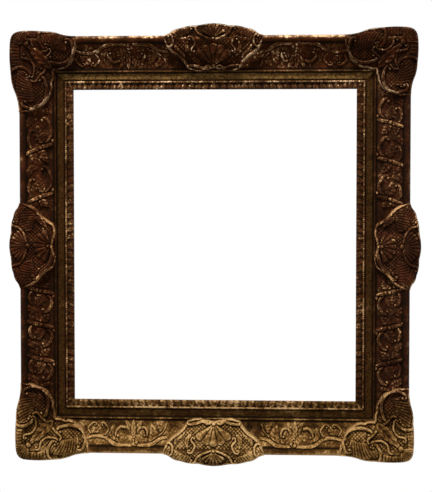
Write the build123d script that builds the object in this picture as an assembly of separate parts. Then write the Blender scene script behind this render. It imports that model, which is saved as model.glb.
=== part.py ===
from build123d import *

import os
from math import asin, cos, degrees, hypot, radians, sin

# An ornate gilded frame in the French swept style, as separate pieces.
#
# The pieces are drawn lying on a bench, seen from the front: X to the right, Y up the frame and Z out of
# the back plane towards the viewer. Each side is drawn once as the top side, where X runs along the side
# and "out" is the distance from the sight edge. At the end the frame is stood up: its front faces -Y, its
# height is along +Z, and the origin is on the rear face of the top back rail.

# Sight opening, seen from the front
sight_width = 496.0
sight_height = 546.0
rebate_lap = 6.0

# Back rails, which end short of the moulding's outer edge, and their pegged half-laps
back_rail_setback = 12.0
back_rail_thickness = 18.0
peg_radius = 4.0
peg_clearance = 0.05
peg_recess = 0.4
peg_place_share = 0.26

# Section of the front moulding, from the sight edge outwards
lip_thickness = 5.0
strip_width = 15.0
quirk_width = 1.5
frieze_width = 13.0
frieze_rise = 1.0
fillet_width = 4.0
fillet_rise = 5.0
cove_drop = 1.5
cove_width = 46.0
cove_rise = 18.5
cove_hollow = 6.0
rim_step = 1.5
rim_width = 12.5
rim_crown = 2.5
rim_fall = 3.5
rim_edge = 6.0
flank_hollow = 3.0
flats_per_curve = 4

# Sight strip
strip_edge = 2.5
strip_back = 4.0
strip_crown = 1.8

# Carved blocks over the mitres and at the middle of each side
block_start_rise = 3.0
block_peak_rise = 4.5
block_peak_setback = 5.0
block_crown = 2.0
block_tip_thickness = 11.0
block_tip_fall = 6.0
block_foot_overlap = 2.0
field_depth = 2.4
rib_foot = 1.8
# Section of a rib as shares of its half width: two feet in the wood and a flat back
rib_shares = [(-1.0, -0.9), (1.0, -0.9), (0.4, 0.55), (-0.4, 0.55)]

# Centre blocks: half the length, and how far the crest stands past the rim
centre_top_half = 88.0
centre_top_crest = 20.0
centre_bottom_half = 90.0
centre_bottom_crest = 20.0
centre_side_half = 76.0
centre_side_crest = 17.0
palmette_rib = 4.8
palmette_focus_share = 0.14
palmette_length_share = 0.56
palmette_angle = 24.0
crest_rib = 3.4
crest_angle = 34.0
crest_length_share = 0.72

# Corner blocks: arm lengths from their own outer corner, and how far they stand past the rim
corner_sizes = {
    "top_left": {"arm_along": 116.0, "arm_down": 142.0, "past_side": 16.0, "past_end": 9.0},
    "top_right": {"arm_along": 125.0, "arm_down": 117.0, "past_side": 12.0, "past_end": 12.5},
    "bottom_left": {"arm_along": 130.0, "arm_down": 137.0, "past_side": 9.5, "past_end": 13.5},
    "bottom_right": {"arm_along": 128.0, "arm_down": 130.0, "past_side": 8.0, "past_end": 10.0},
}
corner_round = 20.0
corner_rib = 5.2
corner_fan_share = 0.62
leaf_rib = 7.5
leaf_start_share = 0.06
# Bulge of a quarter circle as a share of its chord
quarter_share = (1 - cos(radians(45))) / (2 * sin(radians(45)))

# Applied scroll panels in the cove
panel_gap = 3.0
panel_margin = 1.0
strap_rise = 3.0
scroll_width = 5.0
panel_edge = 4.0
link_pitch = 68.0
link_overlap_share = 0.08
link_bulge_share = 0.16
leaf_share = 0.16

# Turn buttons on the back of the side rails
button_thickness = 1.6
button_pivot_inset = 12.0
button_reach = 26.0
button_round = 7.0
button_tip_round = 5.0
button_gap = 0.3
button_bore_clearance = 0.05
button_height_share = 0.72

# Round-headed screws
button_screw_radius = 1.75
button_screw_length = 13.0
button_screw_head = 3.8
button_screw_head_height = 2.2
hanger_screw_radius = 1.5
hanger_screw_length = 12.0
hanger_screw_head = 3.1
hanger_screw_head_height = 1.8
head_side_angle = 30.0

# Hanger straps and D-shaped rings
strap_metal = 1.0
strap_plate_width = 12.0
strap_plate_length = 32.0
strap_corner = 4.0
strap_hole_clearance = 0.2
strap_hole_drop = 24.0
ring_wire = 1.25
ring_clearance = 0.05
ring_half_width = 10.0
ring_corner = 3.0
ring_leg = 1.0
ring_gap = 0.3
ring_flats = 6
hanger_height_share = 0.5

# One overrun serves every cut
overrun = 1.0

# Places worked out from the sizes above
half_width = sight_width / 2
half_height = sight_height / 2
lip_top = back_rail_thickness + lip_thickness
frieze_start = strip_width + quirk_width
frieze_end = frieze_start + frieze_width
frieze_top = lip_top + frieze_rise
fillet_top = frieze_top + fillet_rise
cove_start = frieze_end + fillet_width
cove_end = cove_start + cove_width
cove_low = fillet_top - cove_drop
cove_high = cove_low + cove_rise
rail_width = cove_end + rim_width
back_outer = rail_width - back_rail_setback
back_rail_width = back_outer - rebate_lap
rim_low = cove_high + rim_step
rim_top = rim_low + rim_crown
rim_shoulder = rim_low - rim_fall
rim_bulge = rim_crown + rim_fall / 2
rim_under = rim_shoulder - rim_edge
block_start = cove_start - block_foot_overlap
block_start_top = fillet_top + block_start_rise
block_peak = rail_width - block_peak_setback
block_peak_top = rim_top + block_peak_rise
block_reach = rail_width + max(
    centre_top_crest,
    centre_bottom_crest,
    centre_side_crest,
    max(max(size["past_side"], size["past_end"]) for size in corner_sizes.values()),
) + overrun
block_tip_top = block_peak_top - block_tip_fall
block_under = block_tip_top - block_tip_thickness
band = rail_width - cove_start
stack_top = block_peak_top + leaf_rib
bar_length = 2 * (max(half_width, half_height) + block_reach + overrun)


def closed_face(*curves):
    """Face inside a closed chain of lines and arcs."""
    return make_face(Curve() + list(curves))


def bar(section, length=bar_length):
    """Bar along X whose section is drawn as (out, forward)."""
    return extrude(Plane.YZ * section, length / 2, both=True)


def curve_places(start, end, hollow):
    """Places on a shallow curve that lies to the right of the way from start to end, joined by flats."""
    run = Vector(*end) - Vector(*start)
    right = Vector(run.Y, -run.X).normalized()
    places = []
    for step in range(flats_per_curve + 1):
        share = step / flats_per_curve
        place = Vector(*start) + run * share + right * (hollow * 4 * share * (1 - share))
        places.append((place.X, place.Y))
    return places


def mitre_wedge(half_length):
    """Block between the two 45 degree planes through the sight corners of a side."""
    near, far = -overrun, block_reach + overrun
    corners = [
        (-half_length - near, near),
        (half_length + near, near),
        (half_length + far, far),
        (-half_length - far, far),
    ]
    return extrude(make_face(Polyline(*corners, close=True)), stack_top)


def on_side(piece, side):
    """Moves a piece drawn as the top side to its own side of the frame."""
    places = {
        "top": Pos(0, half_height, 0),
        "right": Pos(half_width, 0, 0) * Rot(0, 0, -90),
        "bottom": Pos(0, -half_height, 0) * Rot(0, 0, 180),
        "left": Pos(-half_width, 0, 0) * Rot(0, 0, 90),
    }
    return places[side] * piece


def half_length(side):
    """Half the sight length of a side."""
    return half_width if side in ("top", "bottom") else half_height


def moulding_section():
    """Lip, frieze, fillet, cove, rim and hollow flank of the front moulding."""
    steps = [
        (0, back_rail_thickness),
        (0, lip_top),
        (frieze_start, lip_top),
        (frieze_start, frieze_top),
        (frieze_end, frieze_top),
        (frieze_end, fillet_top),
        (cove_start, fillet_top),
    ]
    cove = curve_places((cove_start, cove_low), (cove_end, cove_high), cove_hollow)
    rim = curve_places((cove_end, rim_low), (rail_width, rim_shoulder), -rim_bulge)
    flank = curve_places((rail_width, rim_under), (back_outer, back_rail_thickness), flank_hollow)
    return make_face(Polyline(*steps, *cove, *rim, *flank, close=True))


def moulding(side):
    """One mitred front moulding, as the top side."""
    return bar(moulding_section()) & mitre_wedge(half_length(side))


def sight_strip(side):
    """One mitred sight strip, rounded like a row of leaves, as the top side."""
    section = closed_face(
        Line((0, lip_top), (0, lip_top + strip_edge)),
        SagittaArc((0, lip_top + strip_edge), (strip_width, lip_top + strip_back), strip_crown),
        Line((strip_width, lip_top + strip_back), (strip_width, lip_top)),
        Line((strip_width, lip_top), (0, lip_top)),
    )
    return bar(section) & mitre_wedge(half_length(side))


def layer_section(rise):
    """Everything under the cove's own curve raised by rise, between the fillet and the rim."""
    low, high = cove_start + panel_margin, cove_end - panel_margin
    curve = curve_places((low, cove_low + rise), (high, cove_high + rise), cove_hollow)
    return make_face(Polyline((low, lip_top), *curve, (high, lip_top), close=True))


def block_profile(rise=0.0):
    """Facets of a carved block's surface from the fillet to the tip of its crest, as (out, forward)."""
    middle = (block_start + block_peak) / 2
    middle_top = (block_start_top + block_peak_top) / 2 + block_crown
    places = [
        (block_start, block_start_top),
        (middle, middle_top),
        (block_peak, block_peak_top),
        (block_reach, block_tip_top),
    ]
    return [(out, top + rise) for out, top in places]


def block_section(rise=0.0):
    """Section of a carved block: its faceted surface, its edge and its seat inside the moulding."""
    under = [
        (block_reach, block_under),
        (cove_end, block_under),
        (cove_end, lip_top),
        (block_start, lip_top),
    ]
    return make_face(Polyline(*block_profile(rise), *under, close=True))


def block_top(out):
    """Height of the carved blocks' surface at a distance out from the sight edge."""
    profile = block_profile()
    for near, far in zip(profile, profile[1:]):
        if out <= far[0]:
            break
    return near[1] + (far[1] - near[1]) * (out - near[0]) / (far[0] - near[0])


def bulged(start, end, bulge_share):
    """Curve whose bulge, to the right of the way from start to end, is a share of its chord, or a line."""
    chord = hypot(end[0] - start[0], end[1] - start[1])
    if not bulge_share:
        return Line(start, end)
    return Polyline(*curve_places(start, end, bulge_share * chord))


def lens(start, end, near_share, far_share):
    """Plan face between two curves on one chord: a leaf."""
    return closed_face(bulged(start, end, near_share), bulged(start, end, far_share))


def scroll(start, end, bulge_share):
    """Plan band of even width along an arc: a C-scroll."""
    near, far = Vector(*start), Vector(*end)
    run = far - near
    across = Vector(-run.Y, run.X).normalized() * (scroll_width / 2)
    corners = (near + across, far + across, far - across, near - across)
    places = [(corner.X, corner.Y) for corner in corners]
    return closed_face(
        bulged(places[0], places[1], bulge_share),
        Line(places[1], places[2]),
        bulged(places[2], places[3], -bulge_share),
        Line(places[3], places[0]),
    )


def prism(plan):
    """Plan face carried up through the whole thickness of the frame."""
    return extrude(plan, stack_top)


def flat_sided(near, far):
    """Solid between two like polygons, every side a flat face."""
    count = len(near)
    turns = [(place, (place + 1) % count) for place in range(count)]
    walls = [Face(Wire.make_polygon([near[i], near[j], far[j], far[i]])) for i, j in turns]
    ends = [Face(Wire.make_polygon(near)), Face(Wire.make_polygon(far))]
    return Solid(Shell(walls + ends))


def rib(start, end, end_half_width, out=max):
    """Carved rib on a block's surface, widening from start to end in plan, with three facets."""
    foot = Vector(*start, block_top(out(start)))
    tip = Vector(*end, block_top(out(end)))
    run = (tip - foot).normalized()
    level = Vector(-run.Y, run.X, 0).normalized()
    up = run.cross(level)
    ends = []
    for place, size in ((foot, rib_foot), (tip, end_half_width)):
        ends.append([place + level * (size * x) + up * (size * y) for x, y in rib_shares])
    return flat_sided(*ends)


def out_on_side(place):
    """Distance out from the sight edge of a place on a straight side."""
    return place[1]


def fan(focus, length, angles, end_radius, out=max):
    """Ribs spreading from one focus, at angles counted from the X axis."""
    ribs = []
    for angle in angles:
        way = (cos(radians(angle)), sin(radians(angle)))
        start = (focus[0] + rib_foot * way[0], focus[1] + rib_foot * way[1])
        end = (focus[0] + length * way[0], focus[1] + length * way[1])
        ribs.append(rib(start, end, end_radius, out))
    return ribs


def mirrored_face(right_half):
    """Plan face, alike left and right, from its right half's places and the bulge that follows each."""
    arcs = []
    for first, second in zip(right_half, right_half[1:]):
        arcs.append(bulged(first[:2], second[:2], first[2]))
        arcs.append(bulged((-second[0], second[1]), (-first[0], first[1]), first[2]))
    x, y, bulge_share = right_half[-1]
    arcs.append(bulged((x, y), (-x, y), bulge_share))
    return make_face(Curve() + arcs)


def centre_plan(half, crest):
    """Outline of a centre block: scrolled inner edge, ogee shoulders and a lobed crest."""
    inner_shares = [(0.0, 0.04, 0.0), (0.14, 0.0, 0.14), (0.52, 0.03, -0.08), (0.80, 0.46, 0.10)]
    outer_shares = [(1.0, 0.0, -0.06), (0.86, 0.22, 0.10), (0.66, 0.62, 0.05), (0.18, 0.88, 0.16)]
    inner = [(half * x, cove_start + band * y, bulge) for x, y, bulge in inner_shares]
    outer = [(half * x, rail_width + crest * y, bulge) for x, y, bulge in outer_shares]
    return mirrored_face(inner + outer)


def centre_field(half):
    """Sunk field inside a centre block's scrolled border."""
    field_shares = [(0.0, 0.12, 0.0), (0.42, 0.14, -0.05), (0.70, 0.52, 0.12), (0.66, 0.94, -0.04)]
    return mirrored_face([(half * x, cove_start + band * y, bulge) for x, y, bulge in field_shares])


def sunk(plan, surface):
    """Cutter that sinks a plan field below a block's surface."""
    return prism(plan) - Pos(0, 0, -field_depth) * surface


def centre_block(side, half, crest):
    """Centre block: crowned body, sunk field, palmette in the field and shell ribs on the crest."""
    surface = bar(block_section())
    body = (prism(centre_plan(half, crest)) & surface) - sunk(centre_field(half), surface)
    focus = (0, cove_start + band * palmette_focus_share)
    angles = [90 + step * palmette_angle for step in (-2, -1, 0, 1, 2)]
    body += fan(focus, band * palmette_length_share, angles, palmette_rib, out_on_side)
    shell = (0, rail_width - rim_width / 2)
    angles = [90 + step * crest_angle for step in (-1, 0, 1)]
    body += fan(shell, rim_width / 2 + crest * crest_length_share, angles, crest_rib, out_on_side)
    return body - moulding(side)


def arm_places(arm, past_here, past_other):
    """Places round one arm of a corner block, from its inner corner to its tip, as (out, along, bulge)."""
    corner = rail_width + past_other
    end = corner - arm
    reach = cove_start - end
    inner_shares = [(-0.02, 1.0, 0.10), (0.03, 0.70, 0.14), (0.12, 0.40, 0.14), (0.48, 0.12, 0.10)]
    outer_shares = [(0.0, 0.0, -0.05), (0.40, 0.24, 0.06), (0.92, 0.48, 0.03)]
    places = [(cove_start + band * x, end + reach * y, bulge) for x, y, bulge in inner_shares]
    places += [(rail_width + past_here * x, end + arm * y, bulge) for x, y, bulge in outer_shares]
    return places + [(rail_width + past_here, corner - corner_round, 0.0)]


def corner_plan(size):
    """Outline of a corner block, drawn as the top right one and counted from the sight corner."""
    down = arm_places(size["arm_down"], size["past_side"], size["past_end"])
    along = arm_places(size["arm_along"], size["past_end"], size["past_side"])
    along[0] = (down[0][0], down[0][0], along[0][2])
    down[0] = along[0]
    arcs = []
    for first, second in zip(down, down[1:]):
        arcs.append(bulged(first[:2], second[:2], first[2]))
    for first, second in zip(along, along[1:]):
        arcs.append(bulged(first[1::-1], second[1::-1], -first[2]))
    round_start, round_end = down[-1][:2], along[-1][1::-1]
    arcs.append(bulged(round_start, round_end, quarter_share))
    return make_face(Curve() + arcs)


def arm_field(arm, past_other):
    """Sunk field on one arm of a corner block, inside its scrolled border."""
    end = rail_width + past_other - arm
    reach = rail_width - end
    field_shares = [
        (0.14, 0.36, 0.08),
        (0.40, 0.20, 0.06),
        (0.84, 0.22, -0.04),
        (0.90, 0.70, 0.0),
        (0.66, 0.56, -0.06),
    ]
    places = [(cove_start + band * x, end + reach * y, bulge) for x, y, bulge in field_shares]
    arcs = [
        bulged(first[:2], second[:2], first[2])
        for first, second in zip(places, places[1:] + places[:1])
    ]
    return make_face(Curve() + arcs)


def corner_block(size):
    """Corner block, drawn as the top right one: sunk arm fields, leaf on the mitre, fan on the corner."""
    to_corner = Pos(half_width, half_height, 0)
    surface = on_side(bar(block_section()) & mitre_wedge(half_width), "top")
    surface += on_side(bar(block_section()) & mitre_wedge(half_height), "right")
    body = surface & to_corner * prism(corner_plan(size))
    swap_arms = Plane(origin=(0, 0, 0), x_dir=(1, 1, 0), z_dir=(1, -1, 0))
    down_field = arm_field(size["arm_down"], size["past_end"])
    along_field = mirror(arm_field(size["arm_along"], size["past_side"]), about=swap_arms)
    for field in (down_field, along_field):
        body -= sunk(to_corner * field, surface)
    focus = cove_start + band * corner_fan_share
    length = rail_width + min(size["past_side"], size["past_end"]) - focus - corner_rib / 2
    angles = (0, 30, 60, 90)
    body += [to_corner * piece for piece in fan((focus, focus), length, angles, corner_rib)]
    leaf_start = cove_start + band * leaf_start_share
    body += to_corner * rib((leaf_start, leaf_start), (focus, focus), leaf_rib)
    return body - on_side(moulding("top"), "top") - on_side(moulding("right"), "right")


def scroll_panel(level, start, end):
    """Scroll ornament to lay in the cove from start to end along a side, level or upright."""
    length = end - start
    low, high = cove_start + panel_edge, cove_end - panel_edge

    def place(along_share, out_share):
        return (start + length * along_share, low + (high - low) * out_share)

    if level:
        strap_shares = [(0.0, 0.30, 0.53, 0.80, -0.14), (0.47, 0.80, 1.0, 0.30, -0.14)]
        plan = Sketch() + lens(place(0.5, 1), place(0.5, 0), leaf_share, -leaf_share)
    else:
        count = max(2, round(length / link_pitch))
        strap_shares = []
        for link in range(count):
            near, far = (link - link_overlap_share) / count, (link + 1 + link_overlap_share) / count
            low_end, way = (0.0, 1) if link % 2 == 0 else (1.0, -1)
            strap_shares.append((max(near, 0), low_end, min(far, 1), 1 - low_end, way * link_bulge_share))
        plan = Sketch()
    for near_along, near_out, far_along, far_out, bulge_share in strap_shares:
        plan += scroll(place(near_along, near_out), place(far_along, far_out), bulge_share)
    return prism(plan) & bar(layer_section(strap_rise))


def back_rail(side):
    """Back rail with half-lapped ends, as the top side; the side rails lie in front at the laps."""
    end = half_length(side) + back_outer
    lap = half_length(side) + rebate_lap
    middle = rebate_lap + back_rail_width / 2
    half = back_rail_thickness / 2
    board = Pos(0, middle, half) * Box(2 * end, back_rail_width, back_rail_thickness)
    cut_middle = half + half / 2 + overrun / 2 if side in ("top", "bottom") else half / 2 - overrun / 2
    for way in (-1, 1):
        cut = Box(end - lap + overrun, back_rail_width + 2 * overrun, half + overrun)
        board -= Pos(way * (lap + (end - lap + overrun) / 2), middle, cut_middle) * cut
    return board


def lap_peg_places():
    """Two places on a diagonal of each half-lap."""
    step = peg_place_share * back_rail_width
    places = []
    for right in (-1, 1):
        for up in (-1, 1):
            across = right * (half_width + rebate_lap + back_rail_width / 2)
            height = up * (half_height + rebate_lap + back_rail_width / 2)
            places.append((across - right * step, height + up * step))
            places.append((across + right * step, height - up * step))
    return places


def lap_pegs(extra=0.0):
    """Round pegs through the half-laps, or with extra the holes that they are driven into."""
    length = back_rail_thickness - (0 if extra else peg_recess) + (overrun if extra else 0)
    start = -overrun / 2 if extra else peg_recess
    peg = extrude(RegularPolygon(peg_radius + extra, 8), length)
    return [Pos(x, y, start) * peg for x, y in lap_peg_places()]


def screw(shank, standing, length, head, head_height, collar):
    """Wood screw along Z: head behind the origin, collar through the metal, faceted thread in the wood."""
    fixing = extrude(RegularPolygon(head, 8), -head_height, taper=head_side_angle)
    return fixing + collar + Pos(0, 0, standing) * extrude(RegularPolygon(shank, 6), length)


def button_places():
    """Pivot places of the turn buttons on the side rails, by name."""
    across = half_width + rebate_lap + button_pivot_inset
    height = button_height_share * half_height
    return {
        "top_left": (-across, height),
        "top_right": (across, height),
        "bottom_left": (-across, -height),
        "bottom_right": (across, -height),
    }


def turn_button():
    """Pear-shaped brass button hanging from its pivot hole at the origin."""
    tip = Pos(0, button_tip_round - button_reach) * RegularPolygon(button_tip_round, 8)
    plan = make_hull(RegularPolygon(button_round, 12).edges() + tip.edges())
    plan -= Circle(button_screw_radius + button_bore_clearance)
    return Pos(0, 0, -button_gap - button_thickness) * extrude(plan, button_thickness)


def button_screw():
    """Screw that carries a turn button on its round collar, with a gap on each side of the button."""
    standing = 2 * button_gap + button_thickness
    collar = Cylinder(button_screw_radius, standing, align=(Align.CENTER, Align.CENTER, Align.MIN))
    head = (button_screw_head, button_screw_head_height)
    return Pos(0, 0, -standing) * screw(button_screw_radius, standing, button_screw_length, *head, collar)


def hanger_screw():
    """Screw that holds a hanger strap, its head on the strap's outer layer."""
    standing = 2 * strap_metal
    collar = extrude(RegularPolygon(hanger_screw_radius, 6), standing)
    head = (hanger_screw_head, hanger_screw_head_height)
    return Pos(0, 0, -standing) * screw(hanger_screw_radius, standing, hanger_screw_length, *head, collar)


loop_radius = ring_wire + ring_clearance
loop_middle = -(strap_metal + loop_radius)
ring_depth = ring_corner + ring_leg + ring_half_width
ring_rest_tilt = degrees(asin((strap_metal + ring_gap - ring_clearance) / ring_depth))


def hanger_places():
    """Ring pivot places on the side rails, by name."""
    across = half_width + rebate_lap + back_rail_width / 2
    height = hanger_height_share * half_height
    return {"left": (-across, height), "right": (across, height)}


def hanger_strap():
    """Steel strap folded round the ring's bar, both layers pierced for one screw."""
    loop = Pos(0, loop_middle) * RegularPolygon(loop_radius + strap_metal, 12, rotation=15)
    layers = Pos(-strap_plate_length / 2, -strap_metal) * Rectangle(strap_plate_length, 2 * strap_metal)
    plan = loop + layers - Pos(0, loop_middle) * Circle(loop_radius)
    strap = extrude(Plane.YZ * plan, strap_plate_width / 2, both=True)
    strap = chamfer(strap.edges().filter_by(Axis.Z).group_by(Axis.Y)[0], strap_corner)
    hole = RegularPolygon(hanger_screw_radius + strap_hole_clearance, 6)
    return strap - Pos(0, -strap_hole_drop, 0) * extrude(hole, 2 * strap_metal + overrun, both=True)


def quarter_places(middle, radius, flats):
    """Places on a quarter circle, from straight right of its middle to straight below it."""
    angles = [radians(90 * step / flats) for step in range(flats + 1)]
    return [(middle[0] + radius * cos(angle), middle[1] - radius * sin(angle)) for angle in angles]


def hanger_ring():
    """D-shaped ring hanging from its straight round bar at the origin, tilted to lie on the strap."""
    bow = quarter_places((0, -ring_corner - ring_leg), ring_half_width, ring_flats)
    shoulder = (ring_half_width - ring_corner, 0)
    path = Polyline((0, 0), shoulder, (ring_half_width, -ring_corner), *bow)
    wire_section = Plane.YZ * RegularPolygon(ring_wire, 4, rotation=45)
    half = sweep(wire_section, path=path, transition=Transition.RIGHT)
    wire = half + mirror(half, about=Plane.YZ)
    wire += Rot(0, 90, 0) * Cylinder(ring_wire, 2 * shoulder[0])
    return Pos(0, 0, loop_middle) * Rot(ring_rest_tilt, 0, 0) * wire


def stand_up(piece):
    """Stands the frame up from the bench, with its origin on the back of the top rail."""
    return Pos(0, 0, -(half_height + rebate_lap + back_rail_width / 2)) * Rot(90, 0, 0) * piece


def write(name, piece):
    """Writes one piece, or one group of like fasteners, to its own file."""
    export_step(stand_up(piece), f"parts/{name}.step")


sides = ("top", "bottom", "left", "right")
centre_sizes = {
    "top": (centre_top_half, centre_top_crest),
    "bottom": (centre_bottom_half, centre_bottom_crest),
    "left": (centre_side_half, centre_side_crest),
    "right": (centre_side_half, centre_side_crest),
}
# Drawn as the top side, each side has a corner block at its left end and one at its right end
end_corners = {
    "top": ("top_left", "top_right"),
    "bottom": ("bottom_right", "bottom_left"),
    "left": ("bottom_left", "top_left"),
    "right": ("top_right", "bottom_right"),
}

os.makedirs("parts", exist_ok=True)

button_screws = {name: Pos(*place) * button_screw() for name, place in button_places().items()}
hanger_screws = [
    Pos(across, height - strap_hole_drop, 0) * hanger_screw()
    for across, height in hanger_places().values()
]

for side in sides:
    rail = on_side(back_rail(side), side) - lap_pegs(peg_clearance)
    if side in ("left", "right"):
        rail -= list(button_screws.values()) + hanger_screws
    write(f"back_rail_{side}", rail)
    write(f"moulding_{side}", on_side(moulding(side), side))
    write(f"sight_strip_{side}", on_side(sight_strip(side), side))
    half, crest = centre_sizes[side]
    write(f"centre_block_{side}", on_side(centre_block(side, half, crest), side))

    level = side in ("top", "bottom")
    arm, past = ("arm_along", "past_side") if level else ("arm_down", "past_end")
    for corner in end_corners[side]:
        size = corner_sizes[corner]
        far = half_length(side) + rail_width + size[past] - size[arm] - panel_gap
        panel = scroll_panel(level, half + panel_gap, far)
        if corner == end_corners[side][0]:
            panel = mirror(panel, about=Plane.YZ)
        end = corner.split("_")[1 if level else 0]
        write(f"scroll_panel_{side}_{end}", on_side(panel - moulding(side), side))

for corner, size in corner_sizes.items():
    block = corner_block(size)
    if "left" in corner:
        block = mirror(block, about=Plane.YZ)
    if "bottom" in corner:
        block = mirror(block, about=Plane.XZ)
    write(f"corner_block_{corner}", block)

write("lap_pegs", Part() + lap_pegs())
write("turn_button_screws", Part() + list(button_screws.values()))
write("hanger_screws", Part() + hanger_screws)
for name, (across, height) in button_places().items():
    write(f"turn_button_{name}", Pos(across, height, 0) * turn_button())
for name, (across, height) in hanger_places().items():
    write(f"hanger_strap_{name}", Pos(across, height, 0) * hanger_strap())
    write(f"hanger_ring_{name}", Pos(across, height, 0) * hanger_ring())
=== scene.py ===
# %% [markdown]
# # An ornate gilded frame
#
# The real thing is a carved wooden frame: a softwood back frame carries four mitred mouldings, corner and
# centre blocks are laid over them, and everything in front is gilded over red clay and then worn and
# waxed until it is mostly brown. Here the measured solids come in first. Their carved front pieces are
# then replaced by finely carved meshes that stay in the same places.

# %% Bring in the measured frame
from functools import partial
from math import atan2, cos, hypot, pi, radians, sin

import bmesh
import bpy
import numpy as np
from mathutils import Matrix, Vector


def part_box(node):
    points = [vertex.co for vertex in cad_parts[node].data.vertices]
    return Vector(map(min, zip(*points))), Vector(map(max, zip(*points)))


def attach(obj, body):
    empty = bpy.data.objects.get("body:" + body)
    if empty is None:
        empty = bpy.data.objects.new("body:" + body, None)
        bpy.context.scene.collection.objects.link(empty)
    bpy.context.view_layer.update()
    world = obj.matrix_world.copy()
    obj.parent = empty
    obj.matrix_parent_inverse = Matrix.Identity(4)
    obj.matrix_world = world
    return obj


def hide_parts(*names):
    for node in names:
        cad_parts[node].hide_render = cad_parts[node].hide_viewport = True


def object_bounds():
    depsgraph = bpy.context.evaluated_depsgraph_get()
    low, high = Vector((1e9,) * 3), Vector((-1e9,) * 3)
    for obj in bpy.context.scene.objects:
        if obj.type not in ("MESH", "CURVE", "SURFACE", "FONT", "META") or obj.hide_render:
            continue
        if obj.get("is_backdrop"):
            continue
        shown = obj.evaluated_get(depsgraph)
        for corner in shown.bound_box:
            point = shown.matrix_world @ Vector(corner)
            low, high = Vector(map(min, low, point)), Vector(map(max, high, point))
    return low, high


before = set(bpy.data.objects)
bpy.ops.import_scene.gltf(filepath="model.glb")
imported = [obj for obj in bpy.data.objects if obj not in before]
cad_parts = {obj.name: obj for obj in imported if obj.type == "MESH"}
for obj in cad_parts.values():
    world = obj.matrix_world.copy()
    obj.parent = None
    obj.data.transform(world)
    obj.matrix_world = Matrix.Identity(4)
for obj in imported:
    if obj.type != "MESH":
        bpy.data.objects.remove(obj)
cad_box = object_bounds()
print("measured nodes:", len(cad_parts))

# %% [markdown]
# All carving is worked out in millimetres on a bench: the frame lies on its back, a side is drawn once,
# and three numbers say where a point is. "along" runs along the side from its middle, "out" is the
# distance from the sight edge, and "forward" is the height above the back. The sizes that the solids
# show are read from them, so that both models stay one object.

# %% Read the sight opening and the moulding's width
def edges(node):
    """Lowest and highest corner of a measured node, in millimetres."""
    low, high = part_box(node)
    return [1000 * value for value in low], [1000 * value for value in high]


half_width = edges("sight_strip_right")[0][0]
sight_top = edges("sight_strip_top")[0][2]
sight_bottom = edges("sight_strip_bottom")[1][2]
half_height = (sight_top - sight_bottom) / 2
middle_height = (sight_top + sight_bottom) / 2
rail_width = edges("moulding_top")[1][2] - sight_top
strip_width = edges("sight_strip_top")[1][2] - sight_top
back_thickness = -edges("back_rail_top")[0][1]
front_limit = -1000 * cad_box[0][1] - 0.1
print("sight", round(2 * half_width, 1), "by", round(2 * half_height, 1), "moulding", round(rail_width, 1))

# %% [markdown]
# From the picture outwards, the moulding climbs in steps: a low lip, the sanded frieze, a thin fillet, the
# wide cove and the round rim. Each step keeps the width and the height that it has in the solids, so a carved
# piece lies just where its measured one lay.

# %% Heights and widths of the moulding's steps
lip_top = back_thickness + 5.0
quirk_end = strip_width + 1.5
frieze_end = quirk_end + 13.0
frieze_top = lip_top + 1.0
fillet_end = frieze_end + 4.0
fillet_top = frieze_top + 5.0
cove_start = fillet_end
cove_width = 46.0
cove_end = cove_start + cove_width
cove_low = fillet_top - 1.5
cove_high = cove_low + 18.5
cove_hollow = 6.0
rim_low = cove_high + 1.5
rim_shoulder = rim_low - 3.5
rim_bulge = 4.25
rim_under = rim_shoulder - 6.0
flank_foot = rail_width - 12.0
flank_hollow = 3.0
band = rail_width - cove_start
print("cove from", round(cove_start, 1), "to", round(cove_end, 1), "mm out")

# %% [markdown]
# A side is drawn as the top side and then turned to its own place, and a corner block is drawn as the
# top right one and mirrored. Both moves end in metres, with the frame standing up and facing -Y.

# %% Move carved places into the standing frame
def stand(x, y, forward):
    """Bench places (mm) as places in the standing frame (m)."""
    return np.stack(np.broadcast_arrays(x, -forward, y + middle_height), axis=-1) / 1000


def on_side(side, along, out, forward):
    """Places on a side, as places in the standing frame."""
    if side == "top":
        return stand(along, half_height + out, forward)
    if side == "right":
        return stand(half_width + out, -along, forward)
    if side == "bottom":
        return stand(-along, -half_height - out, forward)
    return stand(-half_width - out, along, forward)


def on_corner(corner, out_side, out_end, forward):
    """Places counted outwards from a sight corner, as places in the standing frame."""
    across = 1 if "right" in corner else -1
    up = 1 if "top" in corner else -1
    return stand(across * (half_width + out_side), up * (half_height + out_end), forward)


print("a corner of the sight, in metres:", on_corner("top_left", 0.0, 0.0, lip_top).round(4).tolist())

# %% [markdown]
# Every carved piece is a closed mesh made from a grid of points, because a grid can be worked out for
# the whole surface at once. Paint data rides on its points for the gilding: how far a point stands proud
# of its neighbourhood, which is painted brighter as a painted highlight, how deep it lies in a hollow, which
# is painted darker as grime and painted shade, and on the mouldings how sanded the ground is.

# %% Build a mesh from rows of points
def piece_of(name, points, faces, layers):
    """Object with a closed mesh: paint data on its points, faces turned outwards and shaded smooth."""
    mesh = bpy.data.meshes.new(name)
    mesh.from_pydata(points.reshape(-1, 3).tolist(), [], faces)
    for layer, values in layers.items():
        made = mesh.attributes.new(layer, "FLOAT", "POINT")
        made.data.foreach_set("value", np.ascontiguousarray(values, dtype=np.float32).ravel())
    work = bmesh.new()
    work.from_mesh(mesh)
    bmesh.ops.recalc_face_normals(work, faces=work.faces)
    work.to_mesh(mesh)
    work.free()
    mesh.shade_smooth()
    piece = bpy.data.objects.new(name, mesh)
    bpy.context.scene.collection.objects.link(piece)
    return piece


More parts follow.
